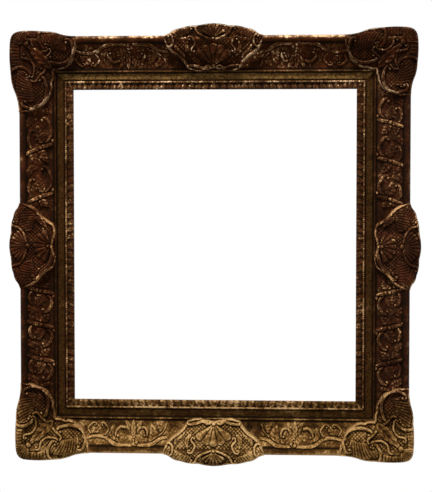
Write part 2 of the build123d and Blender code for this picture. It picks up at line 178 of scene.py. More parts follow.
def swept_piece(name, points, layers):
    """Piece from rows of points that close on themselves; its first and last rows are capped."""
    rows, columns = points.shape[:2]
    here = np.arange(rows * columns).reshape(rows, columns)
    after = np.roll(here, -1, axis=1)
    quads = np.stack([here[:-1], after[:-1], after[1:], here[1:]], axis=-1).reshape(-1, 4)
    caps = [here[0].tolist()[::-1], here[-1].tolist()]
    return piece_of(name, points, quads.tolist() + caps, layers)


print("paint data:", "proud, hidden, sanded")

# %% [markdown]
# Nothing carved by hand is even. A few slow waves, laid over each other in directions drawn by lot, give
# an unevenness that looks worked and is still the same each time. Averaging a grid with its neighbours
# softens a cut, and comparing a height with its average tells ridges from hollows.

# %% Unevenness and averages
wave_count = 7


def hand_noise(x, y, size, seed):
    """Smooth uneven field, about -1 to 1, whose swells are about size across."""
    draws = np.random.default_rng(seed)
    total = np.zeros(np.broadcast(x, y).shape)
    for _ in range(wave_count):
        angle, phase = draws.uniform(0, 2 * pi), draws.uniform(0, 2 * pi)
        stretch = draws.uniform(0.6, 1.6)
        total += np.sin((x * cos(angle) + y * sin(angle)) * 2 * pi / (size * stretch) + phase)
    return total / (wave_count / 2)


def blurred(values, times):
    """Values averaged with their neighbours on the grid, again and again."""
    for _ in range(times):
        padded = np.pad(values, ((1, 1), (0, 0)), mode="edge")
        values = (padded[:-2] + 2 * values + padded[2:]) / 4
        padded = np.pad(values, ((0, 0), (1, 1)), mode="edge")
        values = (padded[:, :-2] + 2 * values + padded[:, 2:]) / 4
    return values


print("unevenness along 80 mm:", hand_noise(np.linspace(0, 80, 5), 0.0, 40.0, 1).round(2).tolist())

# %% [markdown]
# The carver's vocabulary is small: a rounded strap, a scroll with curled ends, a leaf, a rib, a fan of
# ribs and a cross-hatched ground. Most of them follow a drawn curve, so the first thing to know, for every
# point of a grid at once, is how far it lies from such a curve and how far along.

# %% Distance from every point to a drawn curve
def smooth_line(places, samples):
    """Places joined by a soft curve that passes through each of them."""
    places = np.asarray(places, dtype=float)
    ends = np.vstack([2 * places[0] - places[1], places, 2 * places[-1] - places[-2]])
    share = np.linspace(0, 1, samples, endpoint=False)[:, None]
    drawn = []
    for a, b, c, d in zip(ends, ends[1:], ends[2:], ends[3:]):
        drawn.append(0.5 * (2 * b + (c - a) * share + (2 * a - 5 * b + 4 * c - d) * share**2
                            + (3 * b - a - 3 * c + d) * share**3))
    return np.vstack(drawn + [places[-1:]])


def nearest(x, y, line):
    """Signed distance to a line, positive on its left, and the share of its length passed there."""
    steps = np.hypot(*(line[1:] - line[:-1]).T)
    passed = np.concatenate([[0], np.cumsum(steps)]) / max(steps.sum(), 1e-9)
    best = np.full(x.shape, 1e9)
    share = np.zeros(x.shape)
    side = np.ones(x.shape)
    for k, ((ax, ay), (bx, by)) in enumerate(zip(line, line[1:])):
        dx, dy = bx - ax, by - ay
        length = dx * dx + dy * dy + 1e-12
        t = np.clip(((x - ax) * dx + (y - ay) * dy) / length, 0, 1)
        gap = np.hypot(x - ax - t * dx, y - ay - t * dy)
        near = gap < best
        best = np.where(near, gap, best)
        share = np.where(near, passed[k] + t * (passed[k + 1] - passed[k]), share)
        side = np.where(near, np.sign(dx * (y - ay) - dy * (x - ax)), side)
    return best * side, share


straight = np.array([[0.0, 0.0], [4.0, 0.0]])
print("distance and share at one place:",
      [round(float(value), 2) for value in nearest(np.array(2.0), np.array(1.0), straight)])

# %% [markdown]
# A carving is kept as heights over a flat plan, in millimetres. A carver cuts the ground down beside each
# shape, so that it stands clear of its neighbours, and the same is done here before a shape is laid in its
# place. A shape laid later lies on top. Heights on a grid were chosen over modelled solids, because shapes
# may then cross and overlap freely. Nearly all of them are half round across, and softer rises and grooves
# are rounded peaks.

# %% The plan that is carved
def half_round(across):
    """Height over a round rib: 1 in its middle, and 0 from its edges, at -1 and 1, outwards."""
    return np.sqrt(np.clip(1 - across**2, 0, 1))


def ridge(value, middle, width):
    """Rounded peak of 1 at the middle, fading over the width."""
    return np.exp(-(((value - middle) / width) ** 2))


class Carving:
    """Heights over a plan, in millimetres, and how deep inside the outline each point lies."""

    def __init__(self, x, y, depth=None, ground=0.0):
        self.x, self.y, self.depth = x, y, depth
        self.height = np.full(x.shape, float(ground))

    def beside(self, line, reach):
        """Part of the plan within reach of a line, and there the distance to it and the share passed."""
        low, high = line.min(axis=0) - reach, line.max(axis=0) + reach
        part = (self.x > low[0]) & (self.x < high[0]) & (self.y > low[1]) & (self.y < high[1])
        return part, *nearest(self.x[part], self.y[part], line)

    def clear(self, part, gap, half, moat=1.5, floor=-1.3):
        """Cuts the ground down beside a shape, so that it stands clear of its neighbours."""
        here = self.height[part]
        share = np.clip((half + moat - gap) / moat, 0, 1)
        self.height[part] = np.minimum(here, here * (1 - share) + floor * share)

    def lay(self, part, covered, shape):
        """Lays a shape over what is there."""
        self.height[part] = np.where(covered, shape, self.height[part])


print("half round from middle to edge:", half_round(np.array([0.0, 0.5, 1.0])).round(2).tolist())

# %% [markdown]
# The ground between the shapes is cross-hatched, because crossed cuts catch the light and hide the slips
# of the tool. Each cut could be drawn as a line, but two crossed waves give all the diamonds at once. Round
# its edge, a block rolls over in a smooth border that follows its outline.

# %% Hatched ground and rolled border
hatch_pitch, hatch_depth = 4.6, 2.5
root_two = 1.414


def hatch(work):
    """Crossed cuts all over the ground, each diamond left as a pillow."""
    first = np.sin(pi * (work.x + work.y) / (hatch_pitch * root_two))
    second = np.sin(pi * (work.x - work.y) / (hatch_pitch * root_two))
    work.height += hatch_depth * np.sqrt(np.abs(first * second))


def rolled_edge(work, width, height):
    """Rounded border that follows the outline; width and height may vary over the plan."""
    across = np.clip(np.abs(work.depth - width / 2) / (width / 2), 0, 1)
    work.clear(slice(None), work.depth, width)
    work.lay(slice(None), work.depth < width, height * half_round(across))


print("hatching every", hatch_pitch, "mm")

# %% [markdown]
# A scroll is a strap with a groove along it, a little slimmer at its ends, which winds up round a button.
# Its curled end is only more places on the same curve: each step turns further than the last one and is
# shorter. So one function makes the plain straps and the scrolls alike.

# %% Straps, curls and buttons
curl_steps, strap_samples = 9, 5


def curl(end, way, radius, turns):
    """Places of a curl that leaves a strap's end along a direction and winds inwards."""
    hand = 1 if turns > 0 else -1
    heading = atan2(way[1], way[0])
    places, x, y = [], end[0], end[1]
    for step in range(curl_steps):
        share = step / curl_steps
        bend = 2 * pi * abs(turns) / curl_steps * (0.6 + 0.8 * share)
        reach = radius * 2 * pi * abs(turns) / curl_steps * (1 - 0.72 * share)
        heading += hand * bend
        x, y = x + reach * cos(heading), y + reach * sin(heading)
        places.append((x, y))
    return places


def bead(work, places, radius, height):
    """Round buttons, as at the eye of a scroll."""
    for x, y in places:
        gap = np.hypot(work.x - x, work.y - y)
        work.clear(slice(None), gap, radius, 1.0, -0.6)
        across = np.clip(gap / radius, 0, 1)
        work.lay(slice(None), across < 1, height * half_round(across))


def strap(work, places, width, height, curl_start=0, curl_end=0, curl_size=1.0):
    """Rounded strap along a soft curve, with curled ends where turns are given."""
    places = [tuple(place) for place in places]
    if curl_end:
        way = np.subtract(places[-1], places[-2])
        places += curl(places[-1], way, curl_size * width, curl_end)
    if curl_start:
        way = np.subtract(places[0], places[1])
        places = curl(places[0], way, curl_size * width, curl_start)[::-1] + places
    line = smooth_line(places, strap_samples)
    part, gap, share = work.beside(line, width + 2)
    half = width / 2 * (0.70 + 0.30 * np.sin(pi * np.clip(share, 0, 1)))
    work.clear(part, np.abs(gap), half)
    across = np.clip(np.abs(gap) / half, 0, 1)
    groove = 0.20 * ridge(gap / half, 0.15, 0.25) * (width > 5.5)
    work.lay(part, across < 1, height * (0.15 + 0.85 * half_round(across) - groove))
    for eye, turns in ((line[0], curl_start), (line[-1], curl_end)):
        if turns:
            bead(work, [eye], width * 0.48, height * 1.15)


print("places of one curl:", len(curl((0.0, 0.0), (1.0, 0.0), 5.0, 0.8)))

# %% [markdown]
# A shell is a fan of round ribs that spread from a focus and end in scallops. A ribbed wing has the same
# ribs side by side along a strip. Instead of drawing rib after rib, a running number counts them over the
# whole plan, and its fraction says where on its rib a point lies.

# %% Shells and ribbed wings
wing_samples = 6


def rib_across(place):
    """Place across the rib that a counted place lies on, from -1 to 1."""
    return 2 * (place - np.floor(place)) - 1


def fan(work, focus, inner, outer, first, last, count, height):
    """Shell: ribs that spread from a focus between two angles, scalloped at their outer ends."""
    away = np.hypot(work.x - focus[0], work.y - focus[1])
    angle = np.degrees(np.arctan2(work.y - focus[1], work.x - focus[0]))
    turned = (angle - first) % 360
    place = turned / (last - first) * count
    inside = (turned < last - first) & (away > inner)
    lobe = half_round(rib_across(place))
    reach = outer * (0.86 + 0.14 * lobe)
    run = np.clip((away - inner) / (reach - inner), 0, 1)
    dome = np.sin(pi * (0.10 + 0.80 * run)) ** 0.6
    work.clear(inside, away[inside], reach[inside])
    work.lay(slice(None), inside & (away < reach), height * dome * (0.12 + 0.88 * lobe))


def gadroons(work, places, width, pitch, slant, height):
    """Row of ribs across a strip: the ribbed wings of the blocks."""
    line = smooth_line(places, wing_samples)
    part, gap, share = work.beside(line, width)
    length = np.hypot(*(line[1:] - line[:-1]).T).sum()
    across = np.clip(gap / width + 0.5, 0, 1)
    place = (share * length + slant * gap) / pitch
    lobe = half_round(rib_across(place))
    inside = (np.abs(gap) < width / 2) & (share > 0.001) & (share < 0.999)
    dome = np.sin(pi * (0.1 + 0.8 * across)) ** 0.5
    work.lay(part, inside, height * dome * (0.08 + 0.92 * lobe))


print("places across the third rib:", rib_across(np.array([2.0, 2.5, 2.75])).tolist())

# %% [markdown]
# A carved leaf has lobed edges, a sunk midrib and side ribs that slant towards its tip. All three follow
# from two numbers, the share of its curve that is passed and the distance across it. So one formula makes
# every leaf, and only the curve, the width and the number of lobes differ.

# %% Leaves
leaf_samples = 6


def leaf(work, places, width, height, lobes=4):
    """Leaf along a soft curve: lobed edges, a sunk midrib and slanting side ribs."""
    part, gap, share = work.beside(smooth_line(places, leaf_samples), width)
    share = np.clip(share, 0, 1)
    swell = np.sin(pi * share**0.75) ** 0.8
    half = width / 2 * swell * (0.76 + 0.24 * np.abs(np.sin(pi * lobes * share))) + 1e-6
    across = np.abs(gap) / half
    body = 0.2 + 0.8 * half_round(across)
    veins = 0.84 + 0.16 * np.cos(2 * pi * (lobes * share - 0.9 * across))
    midrib = 1 - 0.35 * ridge(gap, 0.0, 0.09 * width)
    work.clear(part, np.abs(gap), half, 1.2, -1.2)
    work.lay(part, across < 1, height * body * veins * midrib)


shape_makers = {"strap": strap, "bead": bead, "gadroons": gadroons, "leaf": leaf}
print("shapes that follow places:", ", ".join(shape_makers))

# %% [markdown]
# The front moulding is one long profile: lip, sanded frieze, thin fillet, hollow cove and round rim. On
# the real frame it was run with scraper blades, coated with gesso and gilded, so its lines are true but
# never dead straight. Here the profile is drawn, from the back of the lip round to the outer flank.

# %% The moulding's profile
def arc(start, end, hollow, count):
    """Places on a shallow curve that lies to the right of the way from start to end."""
    start, end = np.array(start, dtype=float), np.array(end, dtype=float)
    run = end - start
    right = np.array([run[1], -run[0]]) / hypot(*run)
    share = np.linspace(0, 1, count)[:, None]
    return (start + run * share + right * hollow * 4 * share * (1 - share)).tolist()


def stepped(places, largest):
    """Places with more added between those that lie further apart than largest."""
    filled = []
    for a, b in zip(places, places[1:]):
        count = max(1, round(hypot(b[0] - a[0], b[1] - a[1]) / largest))
        filled += [(a[0] + (b[0] - a[0]) * k / count, a[1] + (b[1] - a[1]) * k / count) for k in range(count)]
    return filled + [tuple(places[-1])]


edge_round = 0.5
profile = [(0.0, back_thickness), (0.0, lip_top - edge_round), (edge_round, lip_top), (quirk_end, lip_top)]
profile += [(quirk_end + 0.2, frieze_top - edge_round), (quirk_end + 0.2 + edge_round, frieze_top + 0.3)]
profile += [(frieze_end - 1.6, frieze_top - 0.3), (frieze_end - 0.1, frieze_top - 0.9)]
profile += [(frieze_end, fillet_top - 1.6)]
profile += arc((frieze_end + 0.1, fillet_top - 1.4), (fillet_end - 0.3, fillet_top - 0.8), -1.2, 9)
profile += arc((cove_start, cove_low), (cove_end - 0.2, cove_high), cove_hollow, 30)
profile += [(cove_end, rim_low - 0.8)]
profile += arc((cove_end + 0.3, rim_low), (rail_width - 0.3, rim_shoulder), -rim_bulge, 14)
profile += [(rail_width, rim_shoulder - 1.0), (rail_width, rim_under)]
profile += arc((rail_width, rim_under), (flank_foot, back_thickness), flank_hollow, 7)[1:]
profile = np.array(stepped(profile, largest=1.5))
front_profile = profile[:np.argmax(profile[:, 0] > rail_width - 0.05) + 1]
print("profile places:", len(profile))

# %% [markdown]
# Paint data for the gilding is worked out with the shape. The quirks between the steps, the hollow of the
# cove and the inner half of the rim are painted darker, as grime and as painted shade. The fillet and the rim
# get a painted highlight along their crests, strongest along the top and the bottom of the frame.

# %% The paint data of a moulding
side_seeds = {"top": 1, "right": 2, "bottom": 3, "left": 4}
# Painted highlight along the rim's and the fillet's crests, side by side; the top and the bottom are
# brightest.
rim_highlight = {"top": 1.3, "right": 0.25, "bottom": 1.0, "left": 0.2}
fillet_highlight = {"top": 0.6, "right": 0.2, "bottom": 0.45, "left": 0.2}


def moulding_paint(side, along, out, ground, streaks):
    """Paint data of a moulding: painted highlights on the crests, grimy grooves with painted shade, and a
    sanded frieze.
    """
    # Painted shade, with grime: the quirks, the cove's hollow and the rim's inner half are darkened.
    groove = ridge(out, quirk_end - 0.8, 1.2) + ridge(out, frieze_end - 0.4, 1.3)
    groove += 0.9 * ridge(out, cove_start + 1.0, 1.8) + ridge(out, cove_end - 0.8, 1.8)
    groove += 0.5 * ridge(out, cove_end + 3.0, 3.0) * (1.2 - rim_highlight[side] * 0.5)
    # Painted highlight along the fillet's and the rim's crests.
    crest = fillet_highlight[side] * ridge(out, frieze_end + 2.2, 1.3)
    crest = crest + rim_highlight[side] * ridge(out, rail_width - 2.5, 3.0)
    rubbed = hand_noise(along, out, 30.0, side_seeds[side] + 40) * 0.16
    proud = np.clip(0.42 + 0.44 * crest - 0.5 * groove + ground * 1.2 + streaks + rubbed, 0, 1)
    hidden = 0.9 * groove + 0.35 * ridge(out, cove_start + 12.0, 14.0) - 0.3 * crest
    hidden = np.clip(hidden - streaks * 1.5, 0, 1)
    sanded = np.clip(1.1 * ridge(out, (quirk_end + frieze_end) / 2, 7.5), 0, 1)
    return {"proud": proud, "hidden": hidden, "sanded": np.broadcast_to(sanded, along.shape)}


# Prints the side whose rim has the strongest painted highlight.
print("the rim is most worn along the", max(rim_highlight, key=rim_highlight.get))

# %% [markdown]
# The profile is swept along each side between its two mitres. A sweep of fixed sections would be quicker,
# but a grid of points lets its rows wander by a few tenths of a millimetre, as hand work does, and lets the
# cove keep an uneven ground and the frieze its streaks.

# %% Sweep a moulding
sweep_step = 1.6


def moulding(side, half_side):
    """One mitred length of the front moulding."""
    along_share = np.linspace(-1, 1, int(half_side * 2 / sweep_step))[:, None]
    out, forward = profile[:, 0][None, :], profile[:, 1][None, :]
    along = along_share * (half_side + out)
    seed = side_seeds[side]
    wave = hand_noise(along, out * 2, 70.0, seed) * 0.16 + hand_noise(along, out * 3, 16.0, seed + 9) * 0.08
    front = (forward > lip_top - 0.1) & (out > 1.0) & (out < rail_width - 0.5)
    in_cove = np.clip((out - cove_start - 1) / 3, 0, 1) * np.clip((cove_end - 1 - out) / 3, 0, 1)
    ground = hand_noise(along, out, 4.2, seed + 20) * 0.22 * in_cove
    on_frieze = np.clip((out - quirk_end - 0.8) / 0.6, 0, 1) * np.clip((frieze_end - 1.4 - out) / 0.6, 0, 1)
    streaks = hand_noise(along * 0.35, out * 2.5, 5.0, seed + 60) * 0.22 * on_frieze
    raised = np.minimum(forward + (wave + ground + streaks) * front, front_limit)
    points = on_side(side, along, np.broadcast_to(out, along.shape), raised)
    layers = moulding_paint(side, along, out, ground, streaks)
    return swept_piece(f"carved_moulding_{side}", points, layers)


print("places along a moulding:", int(half_width * 2 / sweep_step))

# %% [markdown]
# The sight strip is the first thing that frames the opening: a row of small overlapping leaf tongues
# inside a beaded edge, with a plain stretch at each mitre where the carver gave the pattern room to turn
# the corner. One tongue is a half oval of height with a midrib and side veins, and repeats along the side.

# %% The pattern of the leaf tongues
leaf_pitch, bar_pitch = 12.4, 9.0
plain_end = 26.0
bead_start = strip_width - 4.0


def leaf_tongues(along, out, half_side, seed):
    """Pattern of the strip, about 0 to 1: leaning tongues, and plain bars near the mitres."""
    across = np.clip(out / bead_start, 0, 1)
    cell = np.abs(along) / leaf_pitch + 0.25 + hand_noise(along, out * 0, 60.0, seed) * 0.05
    lean = cell - np.floor(cell) - 0.5 + 0.20 * (across - 0.5)
    half = 0.46 * np.sqrt(np.clip(1 - ((across - 0.30) / 0.72) ** 2, 0.02, 1))
    tongue = half_round(lean / half)
    midrib = ridge(lean, 0.0, 0.07) * (across < 0.85)
    side_veins = np.cos(2 * pi * (across * 2.6 - np.abs(lean) * 2.2))
    carved = tongue * (0.82 + 0.18 * side_veins) - 0.45 * midrib * tongue
    bars = 0.55 + 0.35 * np.sin(np.abs(along) * 2 * pi / bar_pitch)
    patterned = np.clip((half_side - plain_end - np.abs(along)) / 4, 0, 1)
    return carved * patterned + bars * (1 - patterned)


print("leaves along the top:", round(2 * (half_width - plain_end) / leaf_pitch))

# %% [markdown]
# The strip is swept as the mouldings are, only finer, because a leaf is no wider than a fingernail. The
# pattern raises the rolled part next to the opening, and a string of small beads closes it on the outside.

# %% Sweep the leaf strip
strip_step, bead_pitch = 0.85, 3.6
strip_seeds = {"top": 5, "right": 6, "bottom": 7, "left": 8}
# Painted shade and grime on the strip, side by side: darker on the top and the sides than on the bottom.
strip_shade_and_grime = {"top": 0.65, "right": 0.6, "bottom": 0.45, "left": 0.6}
roll_out, roll_height = [0, 1.2, 3.0, 7.5, bead_start], [0.6, 2.2, 3.0, 1.6, 0.9]


def sight_strip(side, half_side):
    """One mitred length of the leaf-tongue strip."""
    share = np.linspace(-1, 1, int(half_side * 2 / strip_step))[:, None]
    out = np.concatenate([[0.0, 0.0], np.linspace(0, strip_width, 21), [strip_width]])[None, :]
    along = share * (half_side + out)
    seed = strip_seeds[side]
    pattern = leaf_tongues(along, out, half_side, seed)
    wear_and_highlight = hand_noise(along, out, 9.0, seed + 30) * 0.12
    string = half_round((out - strip_width + 2.0) / 2.1)
    beaded = 0.86 + 0.14 * np.sin(along * 2 * pi / bead_pitch)
    on_bead = out >= bead_start
    rolled = lip_top + np.interp(out, roll_out, roll_height) * (0.5 + 0.5 * pattern)
    height = np.where(on_bead, lip_top + 1.0 + 3.5 * string * beaded, rolled) + wear_and_highlight
    height[:, [0, -1]] = lip_top - 0.5
    points = on_side(side, along, np.broadcast_to(out, along.shape), height)
    # The bead's crest is painted brighter, a painted highlight, and so are the tongues where they rise.
    proud = np.where(on_bead, 0.20 + 0.65 * string * beaded, 0.20 + 0.44 * pattern) + wear_and_highlight
    # Painted shade and grime in the hollows between the tongues, and a painted shadow line at the foot of the
    # bead.
    hidden = np.where(on_bead, 0.8 - string, strip_shade_and_grime[side] - pattern)
    hidden = hidden + 0.4 * ridge(out, bead_start - 0.7, 1.2)
    layers = {"proud": np.clip(proud, 0, 1), "hidden": np.clip(hidden, 0, 1)}
    return swept_piece(f"leaf_strip_{side}", points, layers)


print("beads along the top:", round(2 * half_width / bead_pitch))

# %% [markdown]
# The four sides are made in one loop, from the size of the opening. They need no cut for the mitre: each
# row of points is longer by its distance from the opening, so the ends lean at 45 degrees by themselves.

# %% Make the mouldings and the strips
level_sides = ("top", "bottom")
lengths = {"top": half_width, "bottom": half_width, "left": half_height, "right": half_height}
front_pieces = {}
for side, half_side in lengths.items():
    front_pieces[f"moulding_{side}"] = moulding(side, half_side)
    front_pieces[f"sight_strip_{side}"] = sight_strip(side, half_side)
print("mouldings and strips:", len(front_pieces))

# %% [markdown]
# The blocks are the swept style's signature: shell and scroll pieces that break the straight edge in
# the middle of each side and at each corner. An outline is a chain of places with a soft curve between
# each two, evened out and eased, and it ends just inside the reach of the measured block.

# %% A block's outline
def rounded(places, count, passes=6):
    """Closed outline through places, evenly spaced and with its corners eased."""
    places = np.array(places + [places[0]], dtype=float)
    steps = np.hypot(*(places[1:] - places[:-1]).T)
    passed = np.concatenate([[0], np.cumsum(steps)])
    even = np.linspace(0, passed[-1], count, endpoint=False)
    line = np.stack([np.interp(even, passed, places[:, k]) for k in (0, 1)], axis=-1)
    for _ in range(passes):
        line = (np.roll(line, 1, axis=0) + 2 * line + np.roll(line, -1, axis=0)) / 4
    return line


def bulged(start, end, bulge_share, count=10):
    """Places on a curve from start to end, without its end; the bulge is a share of the chord."""
    chord = hypot(end[0] - start[0], end[1] - start[1])
    return [tuple(place) for place in arc(start, end, bulge_share * chord, count)[:-1]]


def chain_places(chain):
    """Places along a chain, where each link's third number is its bulge towards the next."""
    places = []
    for first, second in zip(chain, chain[1:]):
        places += bulged(first[:2], second[:2], first[2])
    return places


def within_reach(outline, axis, reach):
    """Outline whose part past the moulding is drawn in to end just inside a reach along one axis."""
    past = outline[:, axis] - rail_width
    share = (reach - 0.3 - rail_width) / max(past.max(), 1.0)
    held = outline.copy()
    held[:, axis] = rail_width + np.where(past > 0, past * share, past)
    return held


print("places on a bulged line:", len(bulged((0.0, 0.0), (10.0, 0.0), 0.1)))

# %% [markdown]
# Under its carving a block has a plain swelling surface, which rises from the cove, crosses the rim and
# falls towards its own edge. Its underside lies a little inside the moulding, as if let into it.

# %% The plain surface of a block and what it lies on
block_start = cove_start - 2.0
block_under = 37.5
section_out = np.array([block_start - 20, block_start, 59.0, 87.0, 98.0, 113.0])
section_height = np.array([26.5, 30.0, 42.6, 50.8, 49.9, 46.2])
section_easing = (-7, -3.5, 0, 3.5, 7)


def block_base(out):
    """Height of a block's plain surface over its distance from the sight edge."""
    smooth = np.zeros(np.shape(out))
    for offset in section_easing:
        smooth = smooth + np.interp(out + offset, section_out, section_height) / len(section_easing)
    return smooth


def moulding_height(out):
    """Height of the moulding's own surface, with nothing beyond its outer edge."""
    over = out > rail_width - 2.5
    return np.where(over, 1e3, np.interp(out, front_profile[:, 0], front_profile[:, 1]))


print("a block's highest plain surface:", round(float(block_base(np.arange(113.0)).max()), 1))

# %% [markdown]
# A block's surface is a fine square grid, cut out along the outline. Only cells whose four corners lie
# inside are kept, and the points on their border are moved onto the outline, so the edge stays crisp while
# the carving runs over it.

# %% Cut a grid along an outline
def kept_cells(inside):
    """Cells of a grid whose four corners are all inside."""
    keep = np.zeros(inside.shape, dtype=bool)
    keep[:-1, :-1] = inside[:-1, :-1] & inside[1:, :-1] & inside[:-1, 1:] & inside[1:, 1:]
    return keep


def rim_points(keep):
    """Points of a grid that lie on the border of its kept cells."""
    count = np.zeros(keep.shape, dtype=int)
    count += keep
    count[1:] += keep[:-1]
    count[:, 1:] += keep[:, :-1]
    count[1:, 1:] += keep[:-1, :-1]
    return (count > 0) & (count < 4)


def cut_grid(outline, pitch):
    """Grid over an outline: its points, how deep inside they lie, and the cells that are kept."""
    low, high = outline.min(axis=0) - pitch, outline.max(axis=0) + 2 * pitch
    x, y = np.meshgrid(np.arange(low[0], high[0], pitch), np.arange(low[1], high[1], pitch), indexing="ij")
    closed = np.vstack([outline, outline[:1]])
    turn = np.sum(closed[:-1, 0] * closed[1:, 1] - closed[1:, 0] * closed[:-1, 1])
    depth = nearest(x, y, closed)[0] * np.sign(turn)
    keep = kept_cells(depth > 0.15)
    rim = rim_points(keep)
    even = np.linspace(0, len(outline), 6 * len(outline), endpoint=False)
    fine = np.stack([np.interp(even, np.arange(len(closed)), closed[:, k]) for k in (0, 1)], axis=-1)
    for i, j in zip(*np.nonzero(rim)):
        step = np.argmin((fine[:, 0] - x[i, j]) ** 2 + (fine[:, 1] - y[i, j]) ** 2)
        x[i, j], y[i, j] = fine[step]
    return x, y, np.where(rim, 0, np.maximum(depth, 0)), keep


print("cells kept of a grid of 3 by 3 points:", int(kept_cells(np.ones((3, 3), dtype=bool)).sum()))

# %% [markdown]
# The same cells once more make the underside, and walls along the border join the two skins into one closed
# piece, as a carved block is. A border edge is one that only a single cell uses, so all of them are found
# by counting, and nothing has to walk round the rim.

# %% Close the skin
def border_edges(cells):
    """Edges that only one of the cells has."""
    sides = np.concatenate([cells[:, [0, 1]], cells[:, [1, 2]], cells[:, [2, 3]], cells[:, [3, 0]]])
    first, counts = np.unique(np.sort(sides, axis=1), axis=0, return_index=True, return_counts=True)[1:]
    return sides[first[counts == 1]]


def shell_piece(name, top, under, keep, layers):
    """Piece with a closed skin made of the kept cells of two grids of points, one over the other."""
    rows, columns = keep.shape
    index = np.arange(rows * columns).reshape(rows, columns)
    i, j = np.nonzero(keep[:-1, :-1])
    front = np.stack([index[i, j], index[i + 1, j], index[i + 1, j + 1], index[i, j + 1]], axis=-1)
    border = border_edges(front)
    back = rows * columns
    walls = np.stack([border[:, 1], border[:, 0], border[:, 0] + back, border[:, 1] + back], axis=-1)
    used, faces = np.unique(np.concatenate([front, front[:, ::-1] + back, walls]), return_inverse=True)
    points = np.concatenate([top.reshape(-1, 3), under.reshape(-1, 3)])[used]
    layers = {layer: np.tile(values.ravel(), 2)[used] for layer, values in layers.items()}
    return piece_of(name, points, faces.reshape(-1, 4).tolist(), layers)


print("border edges of two cells side by side:", len(border_edges(np.array([[0, 1, 2, 3], [3, 2, 4, 5]]))))

# %% [markdown]
# Now a block can be carved: its relief is laid over the plain surface and rolls down at the edge. The
# gilding's paint data comes from the same heights. What stands above its surroundings is proud and is painted
# brighter, what lies below them is painted darker as grime and painted shade, and the outer edge gets a
# painted highlight, strongest along the whole crest of the block at the top.

# %% Carve a block
block_pitch = 0.8
block_ground = -2.3
edge_reach, edge_fall = 2.2, 2.6
# Painted highlight along a block's outer edge: strong on the top block's crest, weak on the others.
crest_highlight, edge_highlight = 0.8, 0.2


def block(name, outline, out_of, carve, place, seed):
    """Carved block over an outline; out_of gives the distance from the sight edge, place the final places."""
    x, y, depth, keep = cut_grid(outline, block_pitch)
    out = out_of(x, y)
    carving = Carving(x, y, depth, ground=block_ground)
    carve(carving)
    relief = carving.height + hand_noise(x, y, 26.0, seed) * 0.2 + hand_noise(x, y, 6.0, seed + 1) * 0.12
    relief = blurred(relief, 1) * 0.5 + relief * 0.5
    ease = np.clip(depth / edge_reach, 0, 1)
    ease = np.sqrt(1 - (1 - ease) ** 2)
    rolled = block_base(out) + relief * (0.3 + 0.7 * ease) - edge_fall * (1 - ease)
    top = np.minimum(rolled, front_limit)
    under = np.minimum(np.minimum(block_under, moulding_height(out) - 2.0), top - 0.3)
    whole = np.where(depth > 0, top, moulding_height(np.minimum(out, rail_width - 3)) - 2.0)
    above, sharp = top - blurred(whole, 14), top - blurred(whole, 3)
    # The outer edge is painted brighter, a painted highlight where light from above catches it; raised places
    # are painted brighter and low ones darker.
    wear_and_highlight = crest_highlight if name.endswith("block_top") else edge_highlight
    edge = ridge(depth, 1.2, 2.6) * (out > rail_width - 2) * wear_and_highlight
    layers = {"proud": np.clip(0.40 + 0.13 * above + 0.22 * sharp + edge, 0, 1),
              "hidden": np.clip(0.22 - 0.20 * above - 0.35 * sharp - edge, 0, 1)}
    return shell_piece(name, place(x, y, top), place(x, y, under), keep, layers)


print("grid of a block:", block_pitch, "mm")

# %% [markdown]
# A design is easier to read and to change as a table than as a list of calls. Each row names a shape, gives
# its places as shares of the ground that it lies on, and then its sizes. The same table draws the mirrored
# half: there its places, slants and curls are turned over.

# %% Lay shapes from a table
turned_sizes = ("slant", "curl_start", "curl_end")


def draw(work, spot, hand, shapes):
    """Lays a table's shapes; spot turns shares into places and hand, 1 or -1, turns curls and slants over."""
    for kind, places, sizes in shapes:
        sizes = {key: value * hand if key in turned_sizes else value for key, value in sizes.items()}
        shape_makers[kind](work, [spot(*place) for place in places], **sizes)


def draw_both(work, at, shapes):
    """Lays a table's shapes on the left half of a block, and then on the right half."""
    for hand in (-1, 1):
        draw(work, lambda along, out: at(along * hand, out), hand, shapes)


def edge_roll(out):
    """Width and height of a block's rolled border: bold over the cove, thin outside."""
    inner = np.clip((rail_width - 4 - out) / 8, 0, 1)
    return 2.6 + 2.8 * inner, 1.2 + 1.6 * inner


print("turned over with the hand:", turned_sizes)

# %% [markdown]
# A centre block shows, from the picture outwards: a palmette, hatched fields with leaves and small scrolls
# beside it, and a shell on the crest with ribbed wings at its shoulders. The blocks of the sides are
# plainer and darker, with slanted ribs and one bold scroll along the lower inner edge.

